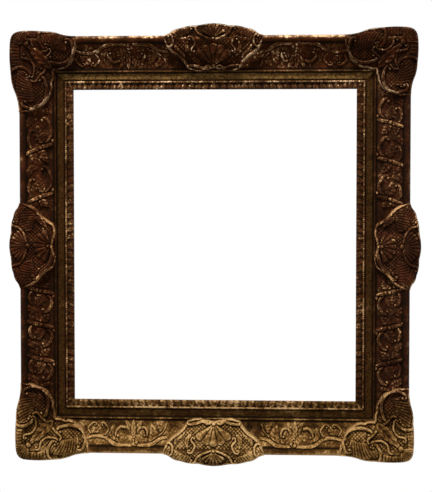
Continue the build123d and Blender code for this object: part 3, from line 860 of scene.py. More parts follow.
# %% The designs of the centre blocks
level_design = {
    "ground": [
        ("gadroons", [(0.46, 1.20), (0.62, 1.11), (0.78, 0.98), (0.92, 0.82)],
         dict(width=15.0, pitch=4.8, slant=-0.35, height=2.6)),
        ("leaf", [(0.56, 0.34), (0.70, 0.52), (0.76, 0.74)], dict(width=11.0, height=3.2)),
        ("leaf", [(0.44, 0.40), (0.52, 0.60), (0.50, 0.84)], dict(width=9.0, height=2.8))],
    "ends": [
        ("strap", [(0.94, 0.70), (0.86, 0.66), (0.80, 0.76), (0.80, 0.92)],
         dict(width=4.8, height=4.2, curl_end=-0.6))],
    "palmette": dict(inner=5.0, outer=band * 0.66, first=30, last=150, count=5, height=4.6),
    "scrolls": [
        ("strap", [(0.40, 0.90), (0.36, 0.74), (0.42, 0.62)],
         dict(width=4.4, height=3.6, curl_start=-0.8, curl_end=-0.6)),
        ("strap", [(0.47, 0.12), (0.34, 0.10), (0.22, 0.04), (0.13, 0.10)],
         dict(width=5.6, height=4.6, curl_start=-0.5, curl_end=1.0)),
        ("strap", [(0.36, 1.22), (0.30, 1.06), (0.16, 0.94), (0.0, 0.86)],
         dict(width=4.6, height=4.0, curl_start=-0.7))],
    "bold_scroll": [],
    "crest_foot": 0.92,
    "crest_shell": dict(inner=3.0, first=24, last=156, count=7, height=3.8),
    "beads": [("bead", [(0.0, 0.10)], dict(radius=4.4, height=4.6)),
              ("bead", [(0.0, 0.89)], dict(radius=3.4, height=4.4))],
}
upright_design = {
    "ground": [
        ("gadroons", [(0.86, 0.60), (0.62, 0.76), (0.36, 0.84)],
         dict(width=24.0, pitch=5.0, slant=0.55, height=3.0)),
        ("gadroons", [(0.46, 1.20), (0.62, 1.11), (0.78, 0.98), (0.92, 0.82)],
         dict(width=14.0, pitch=4.8, slant=-0.35, height=3.2))],
    "ends": [
        ("leaf", [(0.66, 0.54), (0.56, 0.36), (0.42, 0.20)], dict(width=12.0, height=3.8)),
        ("strap", [(0.46, 1.18), (0.40, 0.98), (0.22, 0.84), (0.04, 0.80)],
         dict(width=5.0, height=4.2, curl_start=-0.7))],
    "palmette": dict(inner=4.0, outer=band * 0.50, first=14, last=166, count=7, height=4.4),
    "scrolls": [],
    "bold_scroll": [
        ("strap", [(0.10, 0.05), (0.26, 0.06), (0.46, 0.16), (0.58, 0.34), (0.70, 0.42)],
         dict(width=7.4, height=5.2, curl_start=-0.4, curl_end=0.5))],
    "crest_foot": 0.74,
    "crest_shell": dict(inner=4.0, first=28, last=152, count=9, height=3.8),
    "beads": [("bead", [(0.0, 0.76)], dict(radius=4.0, height=4.8))],
}
print("scrolls of a centre block:", len(level_design["scrolls"]), "and", len(upright_design["bold_scroll"]))

# %% [markdown]
# Seen from the front, a centre block is a soft shield. Its inner edge runs along the fillet, its flanks
# widen across the cove to the rim, and from there it climbs over two shoulders to the round crest. Only
# half of it is drawn, as shares of the measured block's length and crest, and then mirrored.

# %% The outline of a centre block
centre_inner_shares = [(0.0, 0.04, 0.0), (0.14, 0.0, 0.14), (0.52, 0.03, -0.08), (0.80, 0.46, 0.10)]
centre_outer_shares = [(1.0, 0.0, -0.06), (0.86, 0.22, 0.10), (0.66, 0.62, 0.06), (0.30, 0.86, 0.08)]
centre_outline_places = 460


def centre_outline(half, crest):
    """Places round a centre block, alike left and right."""
    chain = [(half * x, cove_start + band * y, bulge) for x, y, bulge in centre_inner_shares]
    chain += [(half * x, rail_width + crest * y, bulge) for x, y, bulge in centre_outer_shares]
    right = chain_places(chain)
    x, y, bulge = chain[-1]
    left = [(-px, py) for px, py in reversed(right)]
    return rounded(right + bulged((x, y), (-x, y), bulge) + left[:-1], centre_outline_places)


def half_length(side):
    """Half the length of a side's measured centre block."""
    low, high = edges(f"centre_block_{side}")
    return (high[0] - low[0]) / 2 if side in level_sides else (high[2] - low[2]) / 2


print("half the length of the top centre block:", round(half_length("top"), 1))

# %% [markdown]
# The order of the work is the carver's: ground and wings first, then the rolled edge over them, the
# palmette and the scrolls, and last the shell on the crest and the buttons. What comes later lies on top.

# %% Carve a centre block
palmette_foot, crest_margin = 0.10, 2.0


def carve_centre(half, crest, design, low_hand):
    """Returns the carving of a centre block; low_hand is the half that a bold scroll lies in."""
    def at(along_share, out_share):
        return (half * along_share, cove_start + band * out_share)

    def carve(work):
        hatch(work)
        draw_both(work, at, design["ground"])
        rolled_edge(work, *edge_roll(work.y))
        draw_both(work, at, design["ends"])
        fan(work, at(0.0, palmette_foot), **design["palmette"])
        draw_both(work, at, design["scrolls"])
        draw(work, lambda along, out: at(along * low_hand, out), low_hand, design["bold_scroll"])
        foot = at(0.0, design["crest_foot"])
        fan(work, foot, outer=rail_width + crest - foot[1] - crest_margin, **design["crest_shell"])
        draw(work, at, 1, design["beads"])

    return carve


def centre_out(x, y):
    """Distance out from the sight edge, over a centre block's plan."""
    return y


print("the palmette's foot lies", round(cove_start + band * palmette_foot, 1), "mm out")

# %% [markdown]
# Each block is fitted to the measured block that it stands for: the solid's box gives its length and how
# far its crest stands past the rim. The curves swell a little past the places that they are drawn through,
# so the crest is first set lower by that share, and then drawn out to end just inside the solid.

# %% Make the centre blocks
outline_overshoot = 1.03
for number, side in enumerate(lengths):
    node = f"centre_block_{side}"
    low, high = edges(node)
    reach = {"top": high[2] - sight_top, "bottom": sight_bottom - low[2],
             "left": -half_width - low[0], "right": high[0] - half_width}[side]
    crest = (reach - rail_width) / outline_overshoot
    outline = within_reach(centre_outline(half_length(side), crest), 1, reach)
    design = level_design if side in level_sides else upright_design
    carve = carve_centre(half_length(side), crest, design, low_hand=-1 if side == "left" else 1)
    front_pieces[node] = block(f"shell_block_{side}", outline, centre_out, carve,
                               partial(on_side, side), 50 + number)
    print(side, "centre block, crest", round(crest, 1), "mm past the rim")

# %% [markdown]
# A corner block covers the mitre. A leaf climbs its diagonal to a shell on the very corner, and each
# arm carries a hatched field between two long scrolls, with a ribbed wing along its outer edge. Its outline
# is drawn as two arms that meet at the inner corner and at the rounded outer one.

# %% A corner block's outline
corner_inner_shares = [(-0.02, 1.0, 0.10), (0.03, 0.70, 0.14), (0.12, 0.40, 0.14), (0.48, 0.12, 0.10)]
corner_outer_shares = [(0.0, 0.0, -0.05), (0.40, 0.24, 0.06), (0.92, 0.48, 0.03)]
corner_round = 20.0
quarter_share = (1 - cos(radians(45))) / (2 * sin(radians(45)))
corner_outline_places = 620


def arm_chain(arm, past_here, past_other):
    """Places round one arm, from the inner corner to where the outer corner's round begins."""
    corner = rail_width + past_other
    end = corner - arm
    reach = cove_start - end
    chain = [(cove_start + band * x, end + reach * y, bulge) for x, y, bulge in corner_inner_shares]
    chain += [(rail_width + past_here * x, end + arm * y, bulge) for x, y, bulge in corner_outer_shares]
    return chain + [(rail_width + past_here, corner - corner_round, 0.0)]


def corner_outline(size):
    """Places round a corner block, counted outwards from the sight corner."""
    down = arm_chain(size["arm_down"], size["past_side"], size["past_end"])
    along = arm_chain(size["arm_along"], size["past_end"], size["past_side"])
    inner = (down[0][0] + along[0][0]) / 2
    down[0] = (inner, inner, down[0][2])
    along[0] = (inner, inner, along[0][2])
    first, second = chain_places(down), chain_places(along)
    ends = down[-1][:2], along[-1][:2]
    rounding = arc(ends[0], ends[1][::-1], quarter_share * corner_round * root_two, 12)
    second = [place[::-1] for place in reversed(second[1:])]
    return rounded(first + [tuple(place) for place in rounding] + second, corner_outline_places)


def corner_out(x, y):
    """Distance out from the nearer sight edge's line, eased over the diagonal."""
    return (x + y + np.sqrt((x - y) ** 2 + 60.0)) / 2


print("places round a corner block:", corner_outline_places)

# %% [markdown]
# Both arms of a corner come from one table, and the second arm is the first one turned over. Here a place's
# first number is its share of the way out over the cove, and the second its share of the arm, counted back
# from the outer corner.

# %% The design of a corner's arm
corner_ground = [
    ("gadroons", [(0.78, 0.50), (0.84, 0.64), (0.80, 0.78), (0.72, 0.88)],
     dict(width=27.0, pitch=4.9, slant=0.40, height=3.2)),
    ("gadroons", [(1.10, 0.17), (1.10, 0.30), (1.06, 0.42)],
     dict(width=15.0, pitch=5.6, slant=0.12, height=3.0)),
]
corner_scrolls = [
    ("leaf", [(0.20, 0.50), (0.32, 0.40), (0.52, 0.36)], dict(width=10.0, height=3.4)),
    ("strap", [(1.20, 0.50), (1.08, 0.455), (0.88, 0.45), (0.70, 0.49)],
     dict(width=5.8, height=4.4, curl_start=0.35, curl_end=0.8)),
    ("strap", [(0.24, 0.60), (0.18, 0.74), (0.28, 0.88), (0.52, 0.955), (0.80, 0.93)],
     dict(width=6.2, height=5.0, curl_start=-0.7, curl_end=0.7)),
    ("strap", [(0.46, 0.60), (0.36, 0.54), (0.26, 0.50)],
     dict(width=4.8, height=4.0, curl_start=0.6, curl_end=-0.9, curl_size=1.2)),
    ("strap", [(0.84, 0.34), (0.66, 0.36), (0.54, 0.44), (0.56, 0.54)],
     dict(width=4.4, height=3.8, curl_start=0.7, curl_end=0.5)),
]
print("shapes on a corner's arm:", len(corner_ground) + len(corner_scrolls))

# %% [markdown]
# The two arms are carved first. The leaf on the diagonal and the shell on the very corner come after
# them and lie over both, which hides where the arms meet, as it does on the real frame.

# %% Carve a corner block
leaf_foot = cove_start + band * 0.05
leaf_tip = cove_start + band * 0.66


def arm_spot(arm, past_other, swapped):
    """Turns shares into places on an arm: out over the cove, and back from the outer corner."""
    def spot(out_share, run_share):
        here = (cove_start + band * out_share, rail_width + past_other - arm * run_share)
        return here[::-1] if swapped else here

    return spot


def carve_corner(size):
    """Returns the carving of a corner block."""
    arms = [(arm_spot(size["arm_down"], size["past_end"], False), 1),
            (arm_spot(size["arm_along"], size["past_side"], True), -1)]

    def carve(work):
        hatch(work)
        for spot, hand in arms:
            draw(work, spot, hand, corner_ground)
        rolled_edge(work, *edge_roll(corner_out(work.x, work.y)))
        for spot, hand in arms:
            draw(work, spot, hand, corner_scrolls)
        reach = rail_width + min(size["past_side"], size["past_end"]) - leaf_tip
        fan(work, (leaf_tip + 6, leaf_tip + 6), inner=5.0, outer=(reach - 7.5) * 1.12,
                 first=-4, last=94, count=9, height=4.2)
        steps = (leaf_foot, (leaf_foot + leaf_tip) / 2, leaf_tip + 5)
        leaf(work, [(step, step) for step in steps], 21.0, 5.0, lobes=5)
        bead(work, [(leaf_tip + 6, leaf_tip + 6)], 4.6, 5.2)

    return carve


print("the diagonal leaf runs from", round(leaf_foot, 1), "to", round(leaf_tip, 1), "mm out")

# %% [markdown]
# The four corners were cut by eye, so no two are alike. Each has its own arm lengths and stands past
# the rim by its own amount, all read from the solids.

# %% Make the corner blocks
corner_sizes = {}
for number, corner in enumerate(("top_left", "top_right", "bottom_left", "bottom_right")):
    node = f"corner_block_{corner}"
    low, high = edges(node)
    far_side = -half_width - low[0] if "left" in corner else high[0] - half_width
    near_side = -half_width - high[0] if "left" in corner else low[0] - half_width
    far_end = high[2] - sight_top if "top" in corner else sight_bottom - low[2]
    near_end = low[2] - sight_top if "top" in corner else sight_bottom - high[2]
    size = {"past_side": far_side - rail_width, "past_end": far_end - rail_width,
            "arm_along": far_side - near_side, "arm_down": far_end - near_end}
    corner_sizes[corner] = size
    outline = within_reach(within_reach(corner_outline(size), 0, far_side), 1, far_end)
    front_pieces[node] = block(f"corner_shell_{corner}", outline, corner_out, carve_corner(size),
                               partial(on_corner, corner), 80 + number)
    print(corner, {key: round(value, 1) for key, value in size.items()})

# %% [markdown]
# Between the blocks the cove is not left plain. Along the top and bottom a thin strap swings towards
# the rim and back, with a sprig of leaves and two curls rising from it. Down the sides a chain of slanting
# scrolls and leaves crosses the cove, one link after another. Places run along the panel from the centre
# block, and out over the cove.

# %% The designs of the scroll panels
level_shapes = [
    ("leaf", [(0.20, 0.88), (0.17, 0.56), (0.20, 0.16)], dict(width=18.0, height=4.0, lobes=5)),
    ("leaf", [(0.25, 0.84), (0.30, 0.62), (0.31, 0.30)], dict(width=12.0, height=3.4)),
    ("leaf", [(0.60, 0.86), (0.68, 0.60), (0.67, 0.26)], dict(width=15.0, height=3.8)),
    ("leaf", [(0.92, 0.62), (0.86, 0.38), (0.79, 0.18)], dict(width=16.0, height=4.0)),
    ("leaf", [(0.04, 0.62), (0.07, 0.36), (0.14, 0.10)], dict(width=14.0, height=3.4)),
    ("strap", [(-0.02, 0.66), (0.09, 0.72), (0.18, 0.90), (0.30, 0.95), (0.38, 0.92)],
     dict(width=7.0, height=4.4)),
    ("strap", [(0.41, 0.94), (0.55, 0.96), (0.66, 0.88), (0.76, 0.68), (0.88, 0.64), (1.0, 0.74)],
     dict(width=7.0, height=4.4, curl_start=0.25)),
    ("strap", [(0.41, 0.88), (0.42, 0.62), (0.48, 0.38), (0.57, 0.30), (0.62, 0.46)],
     dict(width=5.6, height=4.2, curl_end=0.5)),
    ("strap", [(0.41, 0.70), (0.36, 0.40), (0.28, 0.32), (0.25, 0.46)],
     dict(width=5.4, height=4.0, curl_end=-0.5)),
    ("leaf", [(0.42, 0.56), (0.46, 0.34), (0.51, 0.06)], dict(width=13.0, height=4.2, lobes=3)),
    ("leaf", [(0.41, 0.56), (0.36, 0.34), (0.32, 0.06)], dict(width=13.0, height=4.0, lobes=3)),
    ("leaf", [(0.415, 0.64), (0.415, 0.34), (0.415, 0.03)], dict(width=12.0, height=5.0, lobes=3)),
    ("strap", [(0.76, 0.60), (0.72, 0.40), (0.76, 0.20)], dict(width=4.2, height=3.2, curl_end=0.8)),
    ("strap", [(0.94, 0.56), (0.97, 0.36), (0.92, 0.18)], dict(width=4.2, height=3.2, curl_end=-0.8)),
    ("strap", [(0.10, 0.62), (0.04, 0.42), (0.02, 0.22)], dict(width=4.2, height=3.0, curl_end=-0.8)),
    ("bead", [(0.41, 0.90)], dict(radius=3.6, height=4.6)),
]
upright_shapes = [
    ("leaf", [(0.30, 0.40), (0.46, 0.56), (0.66, 0.62)], dict(width=21.0, height=4.2, lobes=5)),
    ("leaf", [(0.22, 0.56), (0.04, 0.40), (-0.12, 0.20)], dict(width=18.0, height=4.6, lobes=5)),
    ("leaf", [(0.18, 0.70), (0.00, 0.74), (-0.16, 0.66)], dict(width=15.0, height=3.8)),
    ("leaf", [(0.82, 0.60), (0.76, 0.84), (0.60, 0.98)], dict(width=14.0, height=3.4)),
    ("strap", [(0.28, 0.34), (0.42, 0.15), (0.60, 0.12), (0.76, 0.24)],
     dict(width=6.4, height=4.2, curl_end=0.5)),
    ("strap", [(0.20, 0.84), (0.34, 0.92), (0.50, 0.88)], dict(width=5.6, height=3.8, curl_end=-0.4)),
    ("strap", [(0.07, 0.99), (0.12, 0.84), (0.20, 0.52), (0.27, 0.14)],
     dict(width=8.0, height=5.2, curl_end=0.25)),
    ("bead", [(0.20, 0.52)], dict(radius=4.2, height=5.0)),
]
print("shapes of a panel:", len(level_shapes), "level,", len(upright_shapes), "in each upright link")

# %% [markdown]
# A level panel holds its design once, from end to end. An upright panel repeats its link as often as it
# fits, with one more past each end, so that the chain runs in under the blocks and is never cut short.

# %% Carve a scroll panel
link_pitch = 70.0


def carve_panel(start, end, level):
    """Returns the carving of a panel: one design from end to end, or links with one more past each end."""
    length = end - start
    hand = 1 if length > 0 else -1
    count = 1 if level else max(2, round(abs(length) / link_pitch))
    links = [0] if level else range(-1, count + 1)

    def carve(work):
        for link in links:
            def spot(run_share, out_share):
                return (start + length * (link + run_share) / count, cove_start + cove_width * out_share)

            draw(work, spot, hand, level_shapes if level else upright_shapes)

    return carve


print("an upright link takes about", link_pitch, "mm")

# %% [markdown]
# Each panel is a skin that dives under the cove wherever nothing is carved, so every strap and leaf rises
# from the wood with its own soft outline. Only the cells that the carving touches are kept, and the ends of
# a panel run on a little under the blocks.

# %% The skin of a scroll panel
panel_step, panel_rows = 0.85, 56
panel_margin, sunk = 0.6, -0.9


def scroll_panel(name, side, start, end, carve, seed):
    """Ornament laid in the cove from start to end along a side."""
    along = np.linspace(start, end, int(abs(end - start) / panel_step))[:, None]
    out = np.linspace(cove_start + panel_margin, cove_end - panel_margin, panel_rows)[None, :]
    along, out = np.broadcast_arrays(along, out)
    carving = Carving(along, out, ground=sunk)
    carve(carving)
    uneven = hand_noise(along, out, 20.0, seed) * 0.15 + hand_noise(along, out, 5.0, seed + 3) * 0.1
    soft = blurred(np.where(carving.height > 0.1, carving.height + uneven, sunk), 1)
    cove = np.interp(out, front_profile[:, 0], front_profile[:, 1])
    solid = soft > sunk + 0.02
    keep = np.zeros(soft.shape, dtype=bool)
    keep[:-1, :-1] = solid[:-1, :-1] | solid[1:, :-1] | solid[:-1, 1:] | solid[1:, 1:]
    top = on_side(side, along, out, np.minimum(cove + soft, front_limit))
    under = on_side(side, along, out, cove + sunk - 0.6)
    # Raised places are painted brighter and low ones darker: a painted highlight, and grime with painted
    # shade.
    above, sharp = soft - blurred(soft, 8), soft - blurred(soft, 2)
    layers = {"proud": np.clip(0.38 + 0.13 * above + 0.30 * sharp + 0.05 * soft, 0, 1),
              "hidden": np.clip(0.30 - 0.25 * above - 0.40 * sharp - 0.06 * soft, 0, 1)}
    return shell_piece(name, top, under, keep, layers)


print("rows of points across a panel:", panel_rows)

# %% [markdown]
# There are eight panels, one on each side of each centre block. Where a panel ends depends on its corner
# block's arm, so its place along the side is worked out from the sizes that were just read.

# %% Make the scroll panels
panel_overlap = 8.0
end_corners = {"top": ("top_left", "top_right"), "bottom": ("bottom_right", "bottom_left"),
               "left": ("bottom_left", "top_left"), "right": ("top_right", "bottom_right")}
panels = [(side, corner, hand) for side, corners in end_corners.items()
          for corner, hand in zip(corners, (-1, 1))]
for number, (side, corner, hand) in enumerate(panels):
    level = side in level_sides
    size = corner_sizes[corner]
    arm = size["past_side"] - size["arm_along"] if level else size["past_end"] - size["arm_down"]
    far = lengths[side] + (rail_width + arm)
    start, end = hand * (half_length(side) - panel_overlap), hand * (far + panel_overlap)
    end_name = corner.split("_")[1 if level else 0]
    front_pieces[f"scroll_panel_{side}_{end_name}"] = scroll_panel(
        f"scrollwork_{side}_{end_name}", side, start, end, carve_panel(start, end, level), 120 + number)
print("scroll panels carved:", len(panels))

# %% [markdown]
# Each carved piece now stands for the measured node of the same name. It belongs to the frame's body, so it
# stays still when the buttons and rings behind it move.

# %% Every carved piece takes the place of its measured node
for node, piece in front_pieces.items():
    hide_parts(node)
    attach(piece, "frame")
print("carved pieces:", len(front_pieces), "triangles about",
      sum(2 * len(piece.data.polygons) for piece in front_pieces.values()))

# %% [markdown]
# Finishes come next. Shader maths reads best as plain sums, so a small class lets a socket be added,
# subtracted and multiplied in Python and writes a Math node for each sign.

# %% A socket that can be used in sums
class Sum:
    """A number in a material, with the usual operators."""

    def __init__(self, tree, socket):
        self.tree, self.socket = tree, socket

    def maths(self, operation, *values):
        """One Math node that works on the values, which are numbers or sums."""
        made = self.tree.nodes.new("ShaderNodeMath")
        made.operation = operation
        for socket, value in zip(made.inputs, values):
            if isinstance(value, Sum):
                self.tree.links.new(value.socket, socket)
            else:
                socket.default_value = value
        return Sum(self.tree, made.outputs[0])

    def __add__(self, other):
        return self.maths("ADD", self, other)

    def __radd__(self, other):
        return self.maths("ADD", other, self)

    def __sub__(self, other):
        return self.maths("SUBTRACT", self, other)

    def __rsub__(self, other):
        return self.maths("SUBTRACT", other, self)

    def __mul__(self, other):
        return self.maths("MULTIPLY", self, other)

    def __rmul__(self, other):
        return self.maths("MULTIPLY", other, self)

    def limited(self):
        """The same number, kept between 0 and 1."""
        made = self.maths("ADD", self, 0.0)
        made.socket.node.use_clamp = True
        return made


print("signs that a socket knows:", "+ - *")

# %% [markdown]
# A material is a tree of nodes that ends in a surface, and so is the world. One method adds any node: its
# settings come first, because they can change which sockets it has, and then the values or links.

# %% Any node, added one way
class Nodes:
    """The nodes of a new material or of the world, with a single way to add any node."""

    def __init__(self, name, owner=None):
        self.material = owner or bpy.data.materials.new(name)
        self.material.use_nodes = True
        self.tree = self.material.node_tree
        self.tree.nodes.clear()

    def node(self, kind, settings=None, output=0, values=None):
        """Adds a node: its settings, then values or links for its sockets; returns one output."""
        made = self.tree.nodes.new(kind)
        for key, value in (settings or {}).items():
            setattr(made, key, value)
        for key, value in (values or {}).items():
            socket = made.inputs[key]
            if isinstance(value, Sum):
                self.tree.links.new(value.socket, socket)
            else:
                socket.default_value = value
        return Sum(self.tree, made.outputs[output]) if made.outputs else None


print("materials so far:", len(bpy.data.materials))

# %% [markdown]
# The finishes of this frame need only a few nodes over and over: the place on the piece, the paint data
# of the carving, a noise, a mixture of two colours and the surface itself. Each gets a name here, so that
# a finish further down reads like a recipe.

# %% The nodes that every finish needs
class Finish(Nodes):
    """A material with names for the nodes that every finish needs."""

    def place(self):
        """Position on the piece, in metres, at rest."""
        return self.node("ShaderNodeTexCoord", output="Object")

    def layer(self, name):
        """Paint data that rides on the mesh's points."""
        return self.node("ShaderNodeAttribute", {"attribute_name": name}, "Fac")

    def noise(self, scale, detail=4.0, roughness=0.55, vector=None):
        """Uneven number between 0 and 1; scale is in swells for each metre."""
        return self.node("ShaderNodeTexNoise", output="Fac", values={
            "Vector": vector or self.place(), "Scale": scale, "Detail": detail, "Roughness": roughness})

    def mix(self, share, first, second):
        """Colour between two colours."""
        first, second = (value if isinstance(value, Sum) else (*value, 1.0) for value in (first, second))
        return self.node("ShaderNodeMix", {"data_type": "RGBA"}, 2, {0: share, 6: first, 7: second})

    def surface(self, bump, **values):
        """Ends the material in one surface shader; bump is a height, its strength and its distance."""
        height, strength, distance = bump
        normal = self.node("ShaderNodeBump", values={
            "Height": height, "Strength": strength, "Distance": distance})
        values = {key.replace("_", " "): value for key, value in values.items()}
        shader = self.node("ShaderNodeBsdfPrincipled", values={**values, "Normal": normal})
        self.node("ShaderNodeOutputMaterial", values={"Surface": shader})
        return self.material


print("named nodes:", [name for name in vars(Finish) if not name.startswith("_")])

# %% [markdown]
# The gilding is what the eye sees first. Leaf lies over red clay, and a century of hands, dust and wax
# has left gold on the high places and clay showing through where it was rubbed. So the colour follows the
# paint data of the carving, broken up by noise of four sizes: raised places are painted brighter, with bright
# cream flecks as painted highlights, and hollows are painted near-black, as grime and as painted shade. On
# the lower corners and the foot of the sides, a brighter set of tones takes over towards the bottom edge, as
# a painted gradient of the light from above.

# %% The worn gilding
# Near-black for grime and painted shade in the hollows, and for the dark of the frieze's grain.
grime_and_shade = (0.006, 0.0035, 0.002)
# Painted light gradient: below this height, in metres, the lower, brighter tones take over.
painted_light_top, painted_light_depth = -0.57, 0.075
leaf_gloss, leaf_reflection = 0.05, (1.0, 0.5, 0.2, 1.0)


def gilding(name, upper, lower=None):
    """Gold leaf over clay, rubbed and grimy, with painted highlights and painted shade; the lower tones, if
    given, take over below painted_light_top as a painted gradient of light.
    """
    finish = Finish(name)
    if lower:
        height = finish.node("ShaderNodeSeparateXYZ", output="Z", values={"Vector": finish.place()})
        share = ((painted_light_top - height) * (1.0 / painted_light_depth)).limited()
        pairs = list(zip(upper, lower))
        brown, rub, gold, bright, frieze = (finish.mix(share, *pair) for pair in pairs[:-1])
        gold_share = pairs[-1][0] + share * (pairs[-1][1] - pairs[-1][0])
    else:
        brown, rub, gold, bright, frieze, gold_share = upper
    proud, hidden, sanded = finish.layer("proud"), finish.layer("hidden"), finish.layer("sanded")
    broad = finish.noise(22.0, 3.0) - 0.5
    patchy = finish.noise(95.0, 5.0, 0.65) - 0.5
    fleck = finish.noise(270.0, 4.0, 0.7) - 0.5
    fine = finish.noise(900.0, 3.0, 0.6) - 0.5
    uneven = proud + broad * 1.2 + patchy * 1.4 + fleck * 1.4 + fine * 0.6
    # Gold share: rises in patches and on raised places, partly real gold left and partly a painted highlight
    # on the ridges.
    worn_and_highlit = ((uneven - (0.86 - gold_share)) * 2.6).limited()
    # Bright cream gold on the highest flecks: a painted highlight, also made metallic.
    painted_highlight = ((uneven - (1.22 - gold_share)) * 4.5).limited()
    rubbed = ((finish.noise(45.0, 4.0, 0.7) - 0.46) * 6.0).limited()
    gilt = finish.mix(painted_highlight, gold, bright)
    colour = finish.mix(worn_and_highlit, finish.mix(rubbed, brown, rub), gilt)
    sand = (sanded + (fleck + fine) * 1.2 - 0.1).limited()
    grain = (0.68 + (fleck + fine) * 3.3).limited()
    colour = finish.mix(sand * 0.9, colour, finish.mix(grain, grime_and_shade, frieze))
    # Darkening in the hollows: grime, and painted shade where little light reaches.
    dirt_and_shade = ((hidden - 0.22) * 2.2 - (patchy + broad) * 2.2 + fleck * 2.0).limited()
    colour = finish.mix(dirt_and_shade * 0.95, colour, grime_and_shade)
    clean = worn_and_highlit * (1.0 - dirt_and_shade)
    bump = (fleck * 0.7 + fine * 0.35 + patchy, 0.8, 0.003)
    return finish.surface(bump, Base_Color=colour, Metallic=painted_highlight * clean * 0.5,
                          Roughness=0.60 - clean * 0.20 + fine * 0.2, Specular_IOR_Level=leaf_gloss,
                          Specular_Tint=leaf_reflection)


print("brighter gilding below", painted_light_top, "m")

# %% [markdown]
# Dust and hands reach each part differently, so every part has its own row of tones: a deep brown,
# rubbed clay, dull gold, bright gold for the painted highlights, the tone of the sanded frieze, and the share
# of gold that is left. The rows also paint in how the light from above falls: the bottom is painted lighter
# than the top and the sides, and the top frieze lighter than the other friezes.

# %% The tones round the frame
tones = {
    "top": ((0.030, 0.009, 0.003), (0.064, 0.015, 0.005), (0.190, 0.084, 0.030),
            (0.80, 0.53, 0.30), (0.300, 0.162, 0.046), 0.31),
    "top_corner": ((0.024, 0.007, 0.003), (0.052, 0.012, 0.004), (0.130, 0.056, 0.022),
                   (0.52, 0.33, 0.18), (0.190, 0.098, 0.028), 0.27),
    "left": ((0.024, 0.007, 0.003), (0.056, 0.014, 0.005), (0.125, 0.050, 0.018),
             (0.50, 0.27, 0.11), (0.064, 0.029, 0.006), 0.32),
    "right": ((0.024, 0.008, 0.004), (0.052, 0.014, 0.006), (0.125, 0.054, 0.021),
              (0.50, 0.28, 0.12), (0.068, 0.031, 0.007), 0.32),
    "bottom": ((0.058, 0.024, 0.006), (0.090, 0.036, 0.009), (0.230, 0.116, 0.030),
               (0.44, 0.26, 0.10), (0.044, 0.018, 0.004), 0.60),
    "bottom_centre": ((0.080, 0.034, 0.008), (0.120, 0.050, 0.014), (0.300, 0.160, 0.044),
                      (0.55, 0.34, 0.14), (0.044, 0.018, 0.004), 0.70),
    "top_strip": ((0.040, 0.014, 0.005), (0.070, 0.022, 0.008), (0.200, 0.100, 0.040),
                  (0.80, 0.53, 0.30), (0.190, 0.098, 0.028), 0.45),
    "side_strip": ((0.034, 0.012, 0.004), (0.064, 0.018, 0.006), (0.130, 0.056, 0.020),
                   (0.48, 0.29, 0.13), (0.044, 0.020, 0.004), 0.46),
    "bottom_strip": ((0.058, 0.024, 0.006), (0.090, 0.036, 0.009), (0.230, 0.116, 0.034),
                     (0.44, 0.28, 0.13), (0.044, 0.018, 0.004), 0.64),
}


def painted_light_tones(part, share):
    """A part's tones made lighter or darker as painted light and shade, with the same share of gold."""
    return tuple(tuple(value * share for value in tone) for tone in tones[part][:-1]) + tones[part][-1:]


print("sets of tones:", len(tones))

# %% [markdown]
# Each carved piece wears the gilding of its own place. Some blocks are painted a little lighter or darker
# than the mouldings beside them, as painted light and shade, and take the same tones made lighter or darker.

# %% Gild the carved pieces
gildings = {
    "top": gilding("gilding_top", tones["top"]),
    "left": gilding("gilding_left", tones["left"], tones["bottom"]),
    "right": gilding("gilding_right", tones["right"], tones["bottom"]),
    "bottom": gilding("gilding_bottom", tones["bottom"]),
    "centre_top": gilding("gilding_top_centre", painted_light_tones("top", 0.8)),
    "centre_left": gilding("gilding_left_centre", painted_light_tones("left", 1.25)),
    "centre_right": gilding("gilding_right_centre", painted_light_tones("right", 1.25)),
    "centre_bottom": gilding("gilding_bottom_centre", tones["bottom_centre"]),
    "corner_top_left": gilding("gilding_top_left_corner", tones["top_corner"]),
    "corner_top_right": gilding("gilding_top_right_corner", painted_light_tones("top_corner", 0.8)),
    "corner_bottom_left": gilding("gilding_bottom_left_corner", tones["left"], tones["bottom"]),
    "corner_bottom_right": gilding("gilding_bottom_right_corner", tones["right"], tones["bottom"]),
    "strip_top": gilding("strip_gilding_top", tones["top_strip"]),
    "strip_side": gilding("strip_gilding_sides", tones["side_strip"]),
    "strip_bottom": gilding("strip_gilding_bottom", tones["bottom_strip"]),
}


def gilding_of(node):
    """The name of the gilding that a carved node wears."""
    side = next(word for word in node.split("_") if word in lengths)
    if node.startswith("sight_strip"):
        return f"strip_{side}" if side in level_sides else "strip_side"
    return node.replace("_block", "") if "block" in node else side


for node, piece in front_pieces.items():
    piece.data.materials.append(gildings[gilding_of(node)])
print("gilded pieces:", len(front_pieces), "in", len(gildings), "gildings")

# %% [markdown]
# Behind the gilding the frame is bare softwood, browned by age, with growth rings that run along each
# rail. The grain is a stretched noise, so it needs no picture of wood. The turn buttons are dull brass and
# the hangers plain steel, both brighter where they are handled.

# %% Bare wood, brass and steel
grain_along, grain_across = 4.0, 60.0
tarnish_spot = (0.06, 0.035, 0.018)


